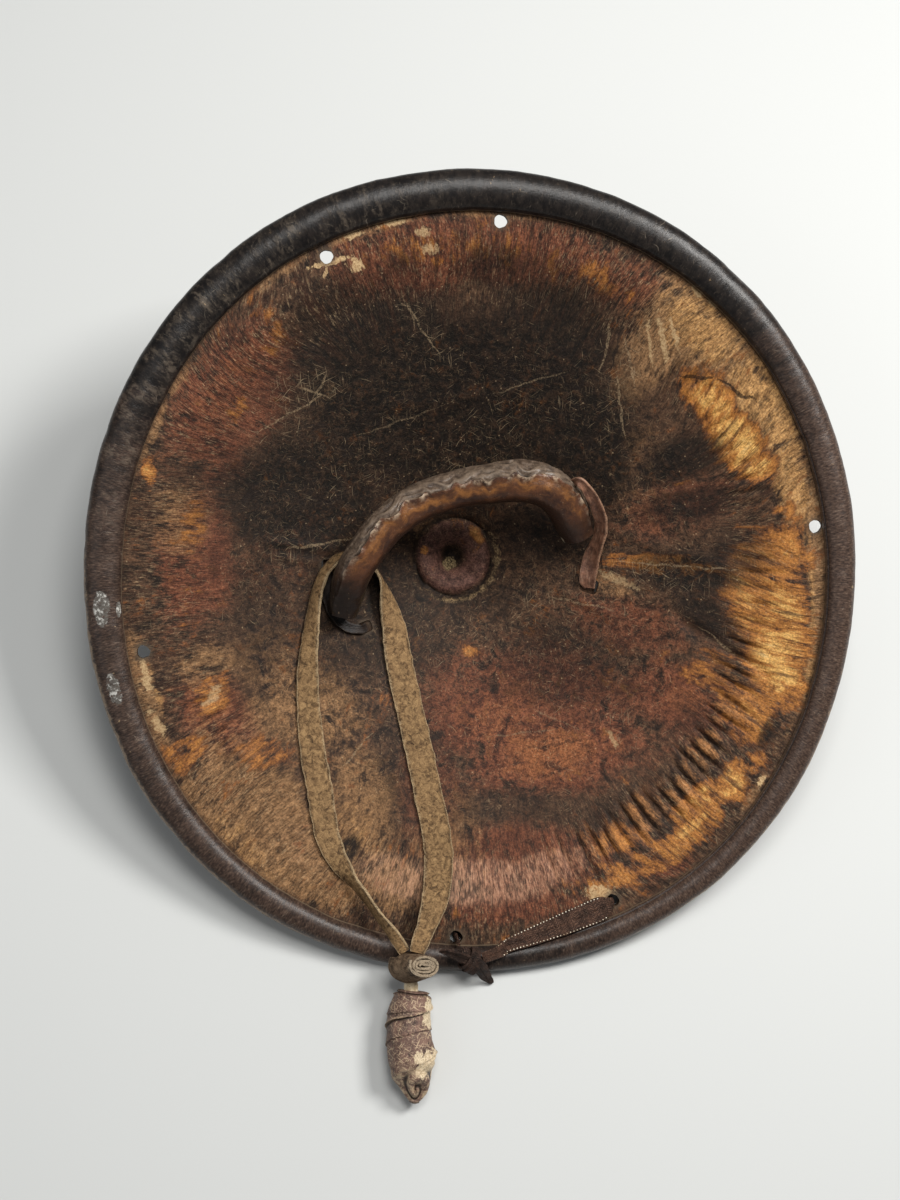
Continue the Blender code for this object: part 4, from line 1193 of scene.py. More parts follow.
def paint_binding(piece):
    place = points_of(piece)
    x, y, z = place.T
    angle, radius = np.arctan2(y, x), np.hypot(x, y)
    half = bead_width(angle) / 2
    upward, outward = (z - CREST + BEAD_RISE) / BEAD_RISE, (radius - seam_radius(angle) - half) / half
    turn = np.degrees(np.arctan2(upward, outward))
    turn = np.where(turn < -100, turn + 360, turn)
    across = turn / 90
    paint(piece, "top", 1 - ease(0.35, 0.95, np.abs(across - 0.98)))
    paint(piece, "outer", 1 - ease(0.25, 0.75, across))
    paint(piece, "seam", ease(1.80, 1.96, across))
    paint(piece, "fold", np.exp(-((turn - FOLD_TURN) / 3.6) ** 2) * fold_depth(angle))
    degrees = np.degrees(angle)
    warm = ease(-105, -50, degrees) * (1 - ease(10, 60, degrees))
    left = ease(0.2, 0.8, np.cos(angle - math.radians(215)))
    paint(piece, "warm", np.maximum(warm, 0.7 * left))
    worn_and_highlit = np.maximum(ease(0.55, 0.95, np.cos(angle - math.radians(214))),
                      ease(0.7, 0.97, np.cos(angle + math.radians(42))))
    paint(piece, "worn_and_highlit", worn_and_highlit)
    # the side of the bead where the painted highlight on the crest is strongest
    paint(piece, "lit", ease(0.70, 0.97, np.cos(angle - math.radians(135))))
    residue = [(184.4, 3.0, 88, 28), (197.1, 2.8, 84, 24), (185.0, 1.6, 150, 14)]
    spot = np.zeros(len(place))
    for at, half_spread, at_turn, half_turn in residue:
        far = np.hypot(turned_from(degrees, at) / half_spread, (turn - at_turn) / half_turn)
        spot = np.maximum(spot, 1 - ease(0.6, 1.2, far))
    paint(piece, "residue", spot)
    paint_fan(piece, round_axis(260, angle, turn * 0.2))


paint_binding(binding)


# %% Mix the finish of the binding
def binding_finish():
    mix = Finish("binding_leather", IOR=1.5, Specular_IOR_Level=0.30)
    fan = mix.add("Attribute", attribute_name="fan").outputs["Vector"]

    def spokes(around, across, detail=3.0, rough=0.62):
        return mix.noise(mix.stretch(fan, (1 / around, 1 / around, 1 / across)), detail, rough)

    hairs, weave, wide = spokes(0.9, 3.2), spokes(4.5, 6, 6, 0.70), spokes(12, 18, 7, 0.70)
    curls = mix.most(*[mix.fibres(12, 0.7, turn) for turn in (30, 96, 150)])
    broad = mix.cloud(60, 4)
    mix.ground = mix.shaded(PITCH, (0.018, 0.014, 0.012), weave, 0.35, 0.65)
    brown = mix.shaded((0.030, 0.018, 0.014), (0.098, 0.060, 0.043), hairs, 0.34, 0.66)
    warm = mix.step(mix.frayed("warm", wide, 1.6), 0.10, 0.95)
    mix.lay(brown, warm, 0.9)
    # painted highlight along the crest of the bead, strongest towards the upper left, mixed with wear
    worn_and_highlit = mix.times(mix.painted("top"), mix.step(wide, 0.44, 0.64))
    share = mix.graded(mix.painted("lit"), 0.38, 0.02)
    mix.lay((0.17, 0.135, 0.10), worn_and_highlit, mix.step(weave, 0.44, 0.58), share)
    lines = mix.graded(warm, 0.16, 0.12)
    mix.lay((0.26, 0.205, 0.15), mix.step(hairs, 0.58, 0.72), lines)
    mix.lay((0.30, 0.25, 0.19), mix.step(curls, 0.69, 0.75), mix.step(wide, 0.42, 0.56), 0.35)
    chips = mix.times(mix.step(weave, 0.66, 0.70), mix.step(broad, 0.46, 0.58))
    mix.lay((0.36, 0.25, 0.14), chips, 0.8)
    rub = mix.plus(mix.times(mix.painted("outer"), mix.painted("worn_and_highlit")), mix.graded(weave, 1.8, -0.9))
    mix.lay((0.28, 0.195, 0.12), mix.step(rub, 0.62, 0.90), 0.65)
    # painted shade: the fold just outside the seam is darkened
    mix.lay(PITCH, mix.painted("fold"))
    edge = mix.step(mix.frayed("seam", weave, 1.4), 0.50, 0.85)
    mix.lay((0.24, 0.18, 0.115), edge, 0.5)
    spot = mix.step(mix.frayed("residue", weave, 1.4), 0.40, 0.60)
    mix.lay((0.11, 0.102, 0.09), spot, mix.step(weave, 0.34, 0.50), 0.85)
    smear = mix.plus(mix.cloud(2.6, 6, 0.74), mix.times(weave, 0.5))
    white = mix.times(mix.step(mix.painted("residue"), 0.2, 0.8), mix.step(smear, 0.76, 0.86), 0.75)
    mix.lay((0.62, 0.61, 0.57), white)
    dull = mix.graded(wide, 0.22, 0.20)
    dull = mix.plus(dull, mix.times(warm, 0.06))
    normal = mix.raised(hairs, 0.10)
    return mix.finish(dull, mix.raised(weave, 0.35, normal))


dress(binding, binding_finish(), "binding_leather", "rim_binding")

# %% [markdown]
# ## The grip
#
# The grip is a stick of rolled leather, bent into an arch. The edge of its outer layer makes a
# frilly lip along the top: above the lip the leather is dry, grey and puckered, and below it
# the hand has polished it orange-brown. One profile is walked round each station of the arch,
# starting just under the lip, so the step at the lip is real.

# %% Sweep the grip
# x, y, height over the hide, radius, and the angle of the lip round the section in degrees
GRIP_ROUTE = [(-92.5, -28, 15, 11.2, 126), (-89.5, -14, 23, 12.9, 120), (-84, 3, 33, 13.2, 114),
              (-73, 20, 41, 13.3, 109), (-57, 39, 46, 13.4, 105), (-36.5, 52.5, 48, 13.4, 101),
              (-13, 61, 49, 13.6, 99), (12, 65.5, 48, 14.5, 101), (35, 67.5, 45, 15.2, 108),
              (54, 63, 40, 15.0, 117), (67, 52, 31, 14.6, 128), (74.5, 38, 22, 13.8, 136),
              (79, 28, 16, 11.8, 140)]
GRIP_LAP, GRIP_RADIUS = 1.6, 13
UP = np.array([0.0, 0.0, 1.0])


def make_grip(stations=250, around=96):
    rows = curve_through(GRIP_ROUTE, stations)
    places = flat_points(rows[:, 0], rows[:, 1], inner_height(rows[:, 0], rows[:, 1]) + rows[:, 2])
    along, run = headings(places), lengths(places)
    side = unit(np.cross(along, UP))
    outward = np.cross(side, along)
    share = np.linspace(0, 1, stations)
    lively = ease(0.10, 0.30, share) * (1 - ease(0.78, 0.92, share))
    frill = 11 * rumple(flat_points(run, 0), 12, 31) + 6 * rumple(flat_points(run, 0), 3.8, 32, 1)
    seam = np.radians(rows[:, 4] + frill * (0.35 + 0.65 * lively))
    behind = whole_turn(around)
    past = 2 * math.pi - behind
    foot = 1 - ease(0.05, 0.26, share)
    rings = []
    folds = []
    for i in range(stations):
        turn = seam[i] - behind
        skin_place = flat_points(run[i], GRIP_RADIUS * np.cos(turn), GRIP_RADIUS * np.sin(turn))
        lip = (0.7 + 1.0 * lively[i]) * np.exp(-(behind / 0.17) ** 2)
        lip = lip * (1 + 0.8 * float(rumple([run[i], 0, 0], 5, 36)))
        slanted = past * 4.4 + 0.8 * math.sin(run[i] / 9)
        wrinkle = rumple(flat_points(run[i] / GRIP_RADIUS, slanted, 3), 1.0, 33)
        wrinkle = 1 - 2 * np.abs(wrinkle)
        pucker = wrinkle * np.exp(-(past / 1.25) ** 2) * (0.25 + 0.75 * lively[i])
        lumps = foot[i] * 1.3 * rumple(skin_place, 7.5, 37)
        rise = GRIP_LAP * (0.5 - behind / (2 * math.pi)) + lip + 1.6 * pucker + lumps - 0.5 * foot[i]
        rise += 0.45 * rumple(skin_place, 16, 34) + 0.16 * rumple(skin_place, 5, 35, 1)
        spoke = side[i] * np.cos(turn)[:, None] + outward[i] * np.sin(turn)[:, None]
        rings.append(places[i] + spoke * (rows[i, 3] + rise)[:, None])
        folds.append(pucker)
    piece = skin("grip_dressed", rings, raw, sharp=75, along=run)
    each = np.ones(stations)[:, None]
    facing = seam[:, None] - behind
    toward_right = ease(0.955, 0.975, share)[:, None] * ease(0.55, 0.9, np.cos(facing - math.radians(-20)))
    marks = {"lip": np.exp(-(behind / 0.15) ** 2) * (0.25 + 0.75 * lively)[:, None],
             "above": (1 - ease(1.0, 1.9, past)) * (0.35 + 0.65 * lively)[:, None],
             "crease": np.clip(-np.array(folds), 0, 1), "ridge": np.clip(np.array(folds), 0, 1),
             "foot": foot[:, None] * np.ones(around),
             "under": ease(0.75, 1.5, behind) * (1 - ease(4.6, 5.2, behind)) * each,
             "orange": np.exp(-((behind - 0.42) / 0.34) ** 2) * (0.25 + 0.75 * lively)[:, None],
             "right_end": ease(0.80, 0.93, share)[:, None] * np.ones(around), "core": toward_right}
    paint_rings(piece, marks)
    return piece


grip = make_grip()
print("points in the grip:", len(grip.data.vertices))


# %% Mix the finish of the grip
def grip_finish():
    mix = Finish("grip_leather", IOR=1.5, Specular_IOR_Level=0.35, Coat_Weight=0.20, Coat_Roughness=0.22)
    grain = mix.strip_grain(11)
    blotch, flecks, fine = mix.cloud(13, 6, 0.65), mix.cloud(4.5, 6, 0.70), mix.cloud(1.2, 4, 0.7)
    mix.ground = mix.shaded((0.038, 0.017, 0.011), (0.115, 0.045, 0.020), blotch, 0.34, 0.66)
    mix.lay((0.20, 0.085, 0.034), mix.step(grain, 0.50, 0.70), 0.45)
    orange = mix.frayed("orange", flecks, 1.2)
    rust = mix.shaded((0.085, 0.034, 0.015), (0.270, 0.110, 0.030), grain, 0.38, 0.62)
    mix.lay(rust, mix.step(orange, 0.30, 1.0), 0.75)
    # painted shade: the underside of the grip is darkened
    dark = mix.frayed("under", blotch, 1.2)
    mix.lay((0.018, 0.009, 0.007), mix.step(dark, 0.25, 1.0), 0.80)
    dry = mix.shaded((0.038, 0.026, 0.018), (0.150, 0.108, 0.076), flecks, 0.34, 0.66)
    above = mix.frayed("above", blotch, 0.7)
    mix.lay(dry, mix.step(above, 0.25, 0.6), 0.9)
    # painted shade in the creases of the puckers, and a painted highlight on their ridges
    mix.lay((0.012, 0.008, 0.006), mix.step(mix.painted("crease"), 0.1, 0.7), 0.85)
    mix.lay((0.25, 0.185, 0.13), mix.step(mix.painted("ridge"), 0.35, 0.9), 0.40)
    # painted highlight along the lip, mixed with wear
    here = mix.step(mix.cloud(9, 3, 0.6), 0.44, 0.62)
    worn_and_highlit = mix.times(mix.painted("lip"), mix.step(flecks, 0.40, 0.58), here, 0.75)
    mix.lay((0.56, 0.44, 0.31), worn_and_highlit, 0.90)
    black = mix.step(mix.frayed("foot", blotch, 1.2), 0.20, 0.85)
    mix.lay(SHADE, black, 0.92)
    black = mix.step(mix.frayed("right_end", blotch, 1.4), 0.35, 1.0)
    mix.lay((0.016, 0.010, 0.008), black, 0.7)
    pores = mix.times(mix.step(fine, 0.44, 0.32), 0.6)
    mix.lay(SMOKE, pores)
    specks = mix.times(mix.step(mix.cells(3.4), 0.20, 0.10), mix.step(fine, 0.45, 0.65))
    mix.lay((0.34, 0.24, 0.15), specks, 0.5)
    core = mix.frayed("core", flecks, 1.4)
    mix.lay((0.55, 0.47, 0.33), mix.step(core, 0.55, 0.75), 0.9)
    dull = mix.graded(flecks, 0.35, 0.18)
    dull = mix.plus(dull, mix.times(mix.painted("above"), 0.16))
    normal = mix.raised(fine, 0.20)
    return mix.finish(dull, mix.raised(flecks, 0.6, mix.raised(grain, 0.35, normal)))


dress(grip, grip_finish(), "grip_leather", "grip")

# %% [markdown]
# ## Ribbons: thongs, strap and tape
#
# A thong, a strap and a tape are the same thing in different leathers: a flat section that is
# carried along a route over the hide. A route gives a place, the air under it, the width and
# the twist, and the section stands on the hide whatever its twist. The cut edges are nearly
# square, and the width wavers a little, as a knife does.

# %% Ribbon tools
def flat_section(across=9, corner=3):
    """Rows of s, u, v round a flat strip: across, out of the cut edge, and up or down."""
    s = np.linspace(1, -1, across)
    turn = np.linspace(math.pi / 2, 3 * math.pi / 2, corner + 2)[1:-1]
    bulge = np.stack([np.cos(turn), np.sin(turn)], 1)
    bulge = np.sign(bulge) * np.abs(bulge) ** 0.6
    upper = np.stack([s, 0 * s, 0 * s + 1], 1)
    left = np.stack([0 * turn - 1, bulge[:, 0], bulge[:, 1]], 1)
    lower = np.stack([-s, 0 * s, 0 * s - 1], 1)
    right = np.stack([0 * turn + 1, -bulge[:, 0], -bulge[:, 1]], 1)
    return np.vstack([upper, left, lower, right])


def ribbon_rings(places, sides, widths, thickness, section, cup=0.0, seed=0, wander=0.03, rough=0.25):
    """Rings of a strip whose section is carried along places."""
    along, run = headings(places), lengths(places)
    side, up = square_to(along, sides)
    s, u, v = section.T
    rings = []
    for i in range(len(places)):
        edge = rumple(flat_points(run[i], 30 * np.sign(s + 1e-6)), 5, seed + 1)
        half = widths[i] / 2 * (1 + wander * edge)
        across = s * (half - thickness / 2) + u * thickness / 2
        soft = rumple(flat_points(run[i], s * widths[i] / 2, 9 * v), 7, seed + 2)
        lift = v * thickness / 2 * (1 + 0.22 * soft) + cup * s * s + rough * soft
        rings.append(places[i] + side[i] * across[:, None] + up[i] * lift[:, None])
    return rings, run


def lying_route(route, samples, thickness, plumb=False):
    """Places, sides and widths of a strip over the hide.

    The air is measured square to the hide or, where plumb is set and the strip leaves the
    hide, along the shield's axis, with the bead left out of account.
    """
    x, y, air, width, twist = curve_through(route, samples).T
    lean = np.radians(twist)
    normal, height = inner_normal(x, y), inner_height(x, y)
    if plumb:
        share = np.clip((air - 3) / 4, 0, 1)[:, None]
        normal = unit(normal * (1 - share) + UP * share)
        height = np.minimum(height, CREST - SEAM_DROP)
    stand = air + thickness / 2 + width / 2 * np.abs(np.sin(lean))
    places = flat_points(x, y, height) + normal * stand[:, None]
    across = unit(np.cross(headings(places), normal))
    return places, across * np.cos(lean)[:, None] + normal * np.sin(lean)[:, None], width


# the edges of a ribbon are painted from this share of its half width outwards
EDGE_FROM = 0.72


def make_ribbon(name, places, sides, widths, thickness, section, **more):
    rings, run = ribbon_rings(places, sides, widths, thickness, section, **more)
    piece = skin(name, rings, raw, sharp=60, along=run)
    s, u, _ = section.T
    each = np.ones(len(rings))[:, None]
    marks = {"cut_edge": np.where(np.abs(u) > 0, 1.0, 0.0) * each,
             "right_edge": np.clip((s - EDGE_FROM) / (1 - EDGE_FROM), 0, 1) ** 2 * each,
             "left_edge": np.clip((-s - EDGE_FROM) / (1 - EDGE_FROM), 0, 1) ** 2 * each}
    paint_rings(piece, marks)
    print(name, "is", round(run[-1]), "mm long")
    return piece


# %% Thongs
LEFT_THONG = [(-103, 5, -2.6, 6, 0), (-104, -1, 0.8, 7, 0), (-105, -14, 0.8, 8, 0), (-101, -29, 0.8, 8, 0),
              (-91, -40, 0.8, 8, 0), (-80, -43, 0.8, 7, 0), (-75, -41, -2.6, 6, 0)]
RIGHT_THONG = [(77.5, 70.5, 24, 3.5, -5), (87, 74.2, 31.5, 7, -5), (94.9, 63.2, 28.3, 9, 0),
               (99.9, 49.1, 20.3, 10, -8), (101, 36.3, 12.9, 10.5, -18), (98.1, 23.1, 6.1, 12, -28),
               (92.5, 10.3, 1.2, 14, -20), (89.2, -4, 1.0, 13, 0), (89, -12, -2.6, 9, 0)]
THONG = 2.4
left_thong = make_ribbon("grip_thong_left_dressed", *lying_route(LEFT_THONG, 110, THONG), THONG,
                         flat_section(9), cup=-0.5, seed=100, wander=0.10, rough=0.5)
right_thong = make_ribbon("grip_thong_right_dressed", *lying_route(RIGHT_THONG, 150, THONG), THONG,
                          flat_section(13), cup=-0.7, seed=110, wander=0.10, rough=0.6)


def thong_finish(name, low, high, edge, **plain):
    mix = Finish(name, **plain)
    grain = mix.strip_grain(9)
    blotch, fine = mix.cloud(7, 6, 0.70), mix.cloud(1.1, 4, 0.7)
    mix.ground = mix.shaded(low, high, blotch, 0.34, 0.66)
    mix.lay(edge, mix.step(grain, 0.52, 0.70), 0.40)
    mix.lay(edge, mix.painted("cut_edge"), mix.step(fine, 0.35, 0.6), 0.6)
    mix.lay(SHADE, mix.step(fine, 0.44, 0.32), 0.6)
    dull = mix.graded(blotch, 0.3, 0.30)
    normal = mix.raised(fine, 0.18)
    return mix.finish(dull, mix.raised(blotch, 0.8, mix.raised(grain, 0.4, normal)))


dark = thong_finish("dark_thong", PITCH, (0.022, 0.014, 0.011), (0.06, 0.042, 0.03),
                    IOR=1.5, Specular_IOR_Level=0.3)
tongue = thong_finish("red_tongue", (0.085, 0.036, 0.022), (0.260, 0.120, 0.070), (0.40, 0.25, 0.16),
                      IOR=1.5, Coat_Weight=0.12)
dress(left_thong, dark, "dark_thong", "grip_thong_left")
dress(right_thong, tongue, "grip_leather", "grip_thong_right")

# %% [markdown]
# ## The strap and its rolled knot
#
# The strap is a long flat strip of suede, looped behind the foot of the grip. Its two ends run
# down together and are rolled up tight into a button, like the end of a bandage. The button is
# made the same way: one strip is wound along a flattened spiral, so its end face shows the
# real layers with dark gaps between them.

# %% The strap
STRAP_ROUTE = [(-49.5, -262.5, 23.5, 8, 0), (-51.3, -259.8, 21.9, 9, 10), (-55.5, -254.8, 16.5, 9.5, 25),
               (-61, -248, 11.4, 11, 45), (-72, -235, 6.0, 12, 60), (-86, -220, 1.6, 12, 60),
               (-97, -204, 1.2, 15, 20), (-105, -184, 1.4, 18, 0), (-109, -158, 1.4, 19, 0),
               (-114, -132, 1.4, 19, 0), (-117, -107, 1.4, 18, 0), (-119, -78, 1.4, 16, 12),
               (-119, -55, 1.2, 14, 40), (-117, -32, 1.2, 13, 65), (-114, -13, 1.2, 12, 75),
               (-108, 2, 1.2, 12, 80), (-96, 13, 1.2, 12, 80), (-80, 12, 1.2, 12, 80),
               (-69, -3, 1.2, 13, 65), (-62, -22, 1.2, 17, 30), (-55, -46, 1.4, 20, 5),
               (-50, -74, 1.5, 21, 0), (-43, -105, 1.5, 21, 0), (-36, -136, 1.4, 21, 0),
               (-30, -165, 1.4, 21, 0), (-25, -190, 1.4, 21, 0), (-24, -211, 2.2, 21, 0),
               (-28, -231, 12.4, 19, 0), (-33.5, -245, 16.4, 14.5, -8), (-37, -252.5, 21.4, 13, -12),
               (-39.8, -258.6, 25.2, 12, -12), (-40.8, -262, 26.5, 10.5, -12)]
STRAP = 2.2
strap = make_ribbon("strap_dressed", *lying_route(STRAP_ROUTE, 600, STRAP, plumb=True), STRAP,
                    flat_section(15), cup=0.6, seed=120, wander=0.07, rough=0.4)


# %% Mix the finish of the suede
def suede_finish(name, dark, middle, light, pale, mottle=1.0):
    mix = Finish(name, Specular_IOR_Level=0.18)
    blotch = mix.cloud(9, 7, 0.70, twist=0.5)
    spots = mix.cloud(3.6, 7, 0.72, twist=0.8)
    nap = mix.cloud(0.8, 4, 0.7)
    mix.ground = mix.shaded(middle, light, spots, 0.34, 0.70)
    mix.lay(dark, mix.step(blotch, 0.44, 0.68), mix.step(spots, 0.64, 0.38), mottle)
    mix.lay(dark, mix.step(spots, 0.48, 0.34), 0.55)
    edges = mix.plus(mix.painted("right_edge"), mix.painted("left_edge"))
    mix.lay(dark, edges, mix.step(blotch, 0.40, 0.56), 0.75)
    mix.lay(pale, mix.painted("cut_edge"), mix.step(nap, 0.35, 0.55), 0.8)
    mix.lay(pale, mix.painted("right_edge"), mix.step(spots, 0.45, 0.6), 0.5)
    mix.lay((0.50, 0.50, 0.50), mix.step(nap, 0.50, 0.36), 0.8, how="MULTIPLY")
    dull = mix.graded(spots, 0.2, 0.68)
    normal = mix.raised(nap, 0.30)
    return mix.finish(dull, mix.raised(spots, 1.0, normal))


suede = suede_finish("suede_strap", (0.055, 0.032, 0.016), (0.160, 0.092, 0.042), (0.36, 0.225, 0.105),
                     (0.46, 0.34, 0.20))
dress(strap, suede, "suede_strap", "strap")

# %% The rolled knot
KNOT_AT = np.array([-41.2, -271.3, CREST + 18.5])
KNOT_ALONG = unit(np.array([0.48, 0.25, 0.84]))
KNOT_WIDE = unit(np.cross(KNOT_ALONG, [0, 1, 0]))
KNOT_HIGH = np.cross(KNOT_WIDE, KNOT_ALONG)


def rolled_strip(samples=420, turns=3.1, pitch=2.95, thick=2.3):
    """Places and widths of a strip that is rolled up into a flat oval, wider at the back."""
    turn = np.linspace(0.3, 2 * math.pi * turns, samples)
    low = 0.75 + pitch * turn / (2 * math.pi)
    uneven = 0.45 * rumple(flat_points(np.cos(turn), np.sin(turn), turn / 6), 0.8, 130)
    across = (low + 4.0 + uneven) * np.cos(turn)
    upward = (low + uneven) * np.sin(turn) + 0.9 * np.sin(1.7 * np.cos(turn))
    spread = KNOT_WIDE * across[:, None] + KNOT_HIGH * upward[:, None]
    slide = 0.6 * rumple(flat_points(turn, 0), 2.2, 131)
    width = 23.4 + 0.6 * rumple(flat_points(turn, 5), 1.4, 132)
    flare = (0.10 * turn / turn[-1] + 0.08)[:, None] * unit(spread)
    return KNOT_AT + spread + KNOT_ALONG * slide[:, None], KNOT_ALONG - flare, width, thick


def make_knot():
    places, sides, widths, thick = rolled_strip()
    return make_ribbon("strap_knot_dressed", places, sides, widths, thick, flat_section(11), seed=135,
                       wander=0.0, rough=0.35)


knot = make_knot()
rolled = suede_finish("suede_rolled", (0.026, 0.016, 0.011), (0.125, 0.080, 0.048), (0.27, 0.185, 0.115),
                      (0.40, 0.32, 0.225))
dress(knot, rolled, "suede_strap", "strap_knot")

# %% [markdown]
# ## The toggle
#
# Below the knot hangs a core of pale rawhide, and round its lower part a strip of dark leather
# is wound on the slant into a fat pear. The strip's edges show as raised lines, flakes have
# come off and bare the cream rawhide, and at the bottom the strip is folded over in an S.

# %% Round sections along a line
def round_rings(places, radii, around, form):
    """Rings along places; form gives the share of the radius at each station and angle."""
    along = headings(places)
    side = unit(np.cross(along, UP))
    up = np.cross(side, along)
    turn = whole_turn(around)
    rings = []
    for i in range(len(places)):
        reach = radii[i] * form(i / (len(places) - 1), turn)
        across, upward = (reach * np.cos(turn))[:, None], (reach * np.sin(turn))[:, None]
        rings.append(places[i] + side[i] * across + up[i] * upward)
    return rings


def above_ground(y, height):
    return (height - FRAME_AT.z - y * math.sin(TILT)) / math.cos(TILT)


def neck_form(share, turn):
    return 1 + 0.07 * rumple(round_axis(3, turn, 9 * share), 1.6, 140)


TOGGLE_X = -45
NECK = [(TOGGLE_X, y, above_ground(y, 21.5), radius)
        for y, radius in ((-284, 4.6), (-287.4, 4.9), (-292, 5.0))]
rows = curve_through(NECK, 30)
neck = skin("toggle_neck_dressed", round_rings(rows[:, :3], rows[:, 3], 48, neck_form), raw,
            along=lengths(rows[:, :3]))
print("points in the toggle's neck:", len(neck.data.vertices))

# %% The toggle's winding
TOGGLE_ROUTE = [(-290.8, 21.5, 10.0), (-293, 21.2, 12.6), (-300, 20.2, 14.4), (-308, 19.2, 15.4),
                (-316, 18.6, 16.2), (-327, 18.2, 17.0), (-338, 17.6, 16.4), (-347, 15.6, 13.4),
                (-355, 13.2, 9.6), (-362, 11.0, 6.0), (-366, 10.0, 3.6)]
WINDS = 2.6
TOGGLE_RADIUS, TOGGLE_LENGTH = 14, 75
# the share of the length where the winding gives way to the folded tip, and the tip's middle
WOUND_TO, FOLDED_FROM, TIP_MIDDLE = 0.58, 0.70, 0.80
CURL_PITCH = 10.5
# ridges and the groove round the upper end: share of the length, width, height
COLLAR = [(0.035, 0.022, 0.10), (0.085, 0.014, -0.10), (0.125, 0.02, 0.05)]


def toggle_place(share, turn):
    """A place on the toggle's skin, which its unevenness is read at."""
    return round_axis(TOGGLE_RADIUS, turn, TOGGLE_LENGTH * share)


def winding(share, turn):
    """0 to 1 across the strip: 1 is its upper edge, and it walks down on the slant."""
    wavy = 0.05 * rumple(toggle_place(share, turn), 12, 154)
    return (turn / (2 * math.pi) + WINDS * share + wavy) % 1.0


def s_fold(share, turn):
    """The curl of the folded end, from -1 in its groove to 1 on its ridge."""
    to_right, down = -TOGGLE_RADIUS * np.cos(turn) - 1, TOGGLE_LENGTH * (share - TIP_MIDDLE)
    curl = np.arctan2(down, to_right) - 2 * math.pi * np.hypot(down, to_right) / CURL_PITCH
    upper = ease(-0.5, 0.2, np.sin(turn))
    under = 0.5 * np.cos(3 * turn + 11 * share)
    return ease(WOUND_TO, FOLDED_FROM, share) * (upper * np.cos(curl) + (1 - upper) * under)


def toggle_form(share, turn):
    place = toggle_place(share, turn)
    lap = winding(share, turn)
    second = (turn / (2 * math.pi) + 5.6 * share + 0.3 + 0.08 * rumple(place, 14, 155)) % 1.0
    step = 0.09 * (lap - 0.5) + 0.05 * np.exp(-((1 - lap) / 0.05) ** 2)
    step = step + 0.035 * (second - 0.5) + 0.03 * np.exp(-((1 - second) / 0.08) ** 2)
    wrinkle = 0.045 * rumple(place, 9, 150) + 0.020 * rumple(place, 3, 151, 1)
    collar = 0.0
    for at, wide, rise in COLLAR:
        collar += rise * math.exp(-((share - at) / wide) ** 2)
    step = step * (1 - ease(WOUND_TO, FOLDED_FROM, share))
    return 0.97 + step + wrinkle + collar + 0.17 * s_fold(share, turn)


def make_toggle(stations=190, around=128):
    y, height, radius = curve_through(TOGGLE_ROUTE, stations).T
    places = flat_points(TOGGLE_X + 2 * np.sin((y + 300) / 12), y, above_ground(y, height))
    rings = [kept_above_ground(ring) for ring in round_rings(places, radius, around, toggle_form)]
    piece = skin("toggle_dressed", rings, raw, sharp=40, along=lengths(places))
    turn = whole_turn(around)
    share = np.linspace(0, 1, stations)[:, None]
    lap = np.array([winding(value, turn) for value in share[:, 0]])
    folds = np.array([s_fold(value, turn) for value in share[:, 0]])
    to_right = -np.cos(turn) * np.ones_like(share)
    patch = ease(0.45, 0.78, to_right) * np.exp(-((share - 0.25) / 0.14) ** 4)
    patch = np.maximum(patch, ease(0.0, 0.40, to_right) * np.exp(-((share - 0.625) / 0.09) ** 4))
    wound = 1 - ease(0.58, 0.68, share)
    marks = {"edge": np.exp(-((1 - lap) / 0.05) ** 2) * wound,
             "gap": np.exp(-((lap - 0.02) / 0.035) ** 2) * wound,
             "patch": patch, "folded": ease(0.56, 0.68, share) * np.ones(around),
             "cleft": np.clip(-folds, 0, 1),
             "collar": np.exp(-((share - 0.085) / 0.016) ** 2) * np.ones(around)}
    paint_rings(piece, marks)
    return piece


toggle = make_toggle()
print("points in the toggle:", len(toggle.data.vertices))


# %% Mix the finishes of the rawhide
def rawhide_finish():
    mix = Finish("rawhide_core", IOR=1.5)
    blotch, fine = mix.cloud(4, 4), mix.cloud(0.9, 3)
    mix.ground = mix.shaded((0.44, 0.33, 0.19), (0.72, 0.60, 0.41), blotch, 0.35, 0.65)
    mix.lay((0.16, 0.095, 0.05), mix.step(fine, 0.60, 0.70), 0.6)
    return mix.finish(mix.graded(blotch, 0.2, 0.45), mix.raised(fine, 0.2))


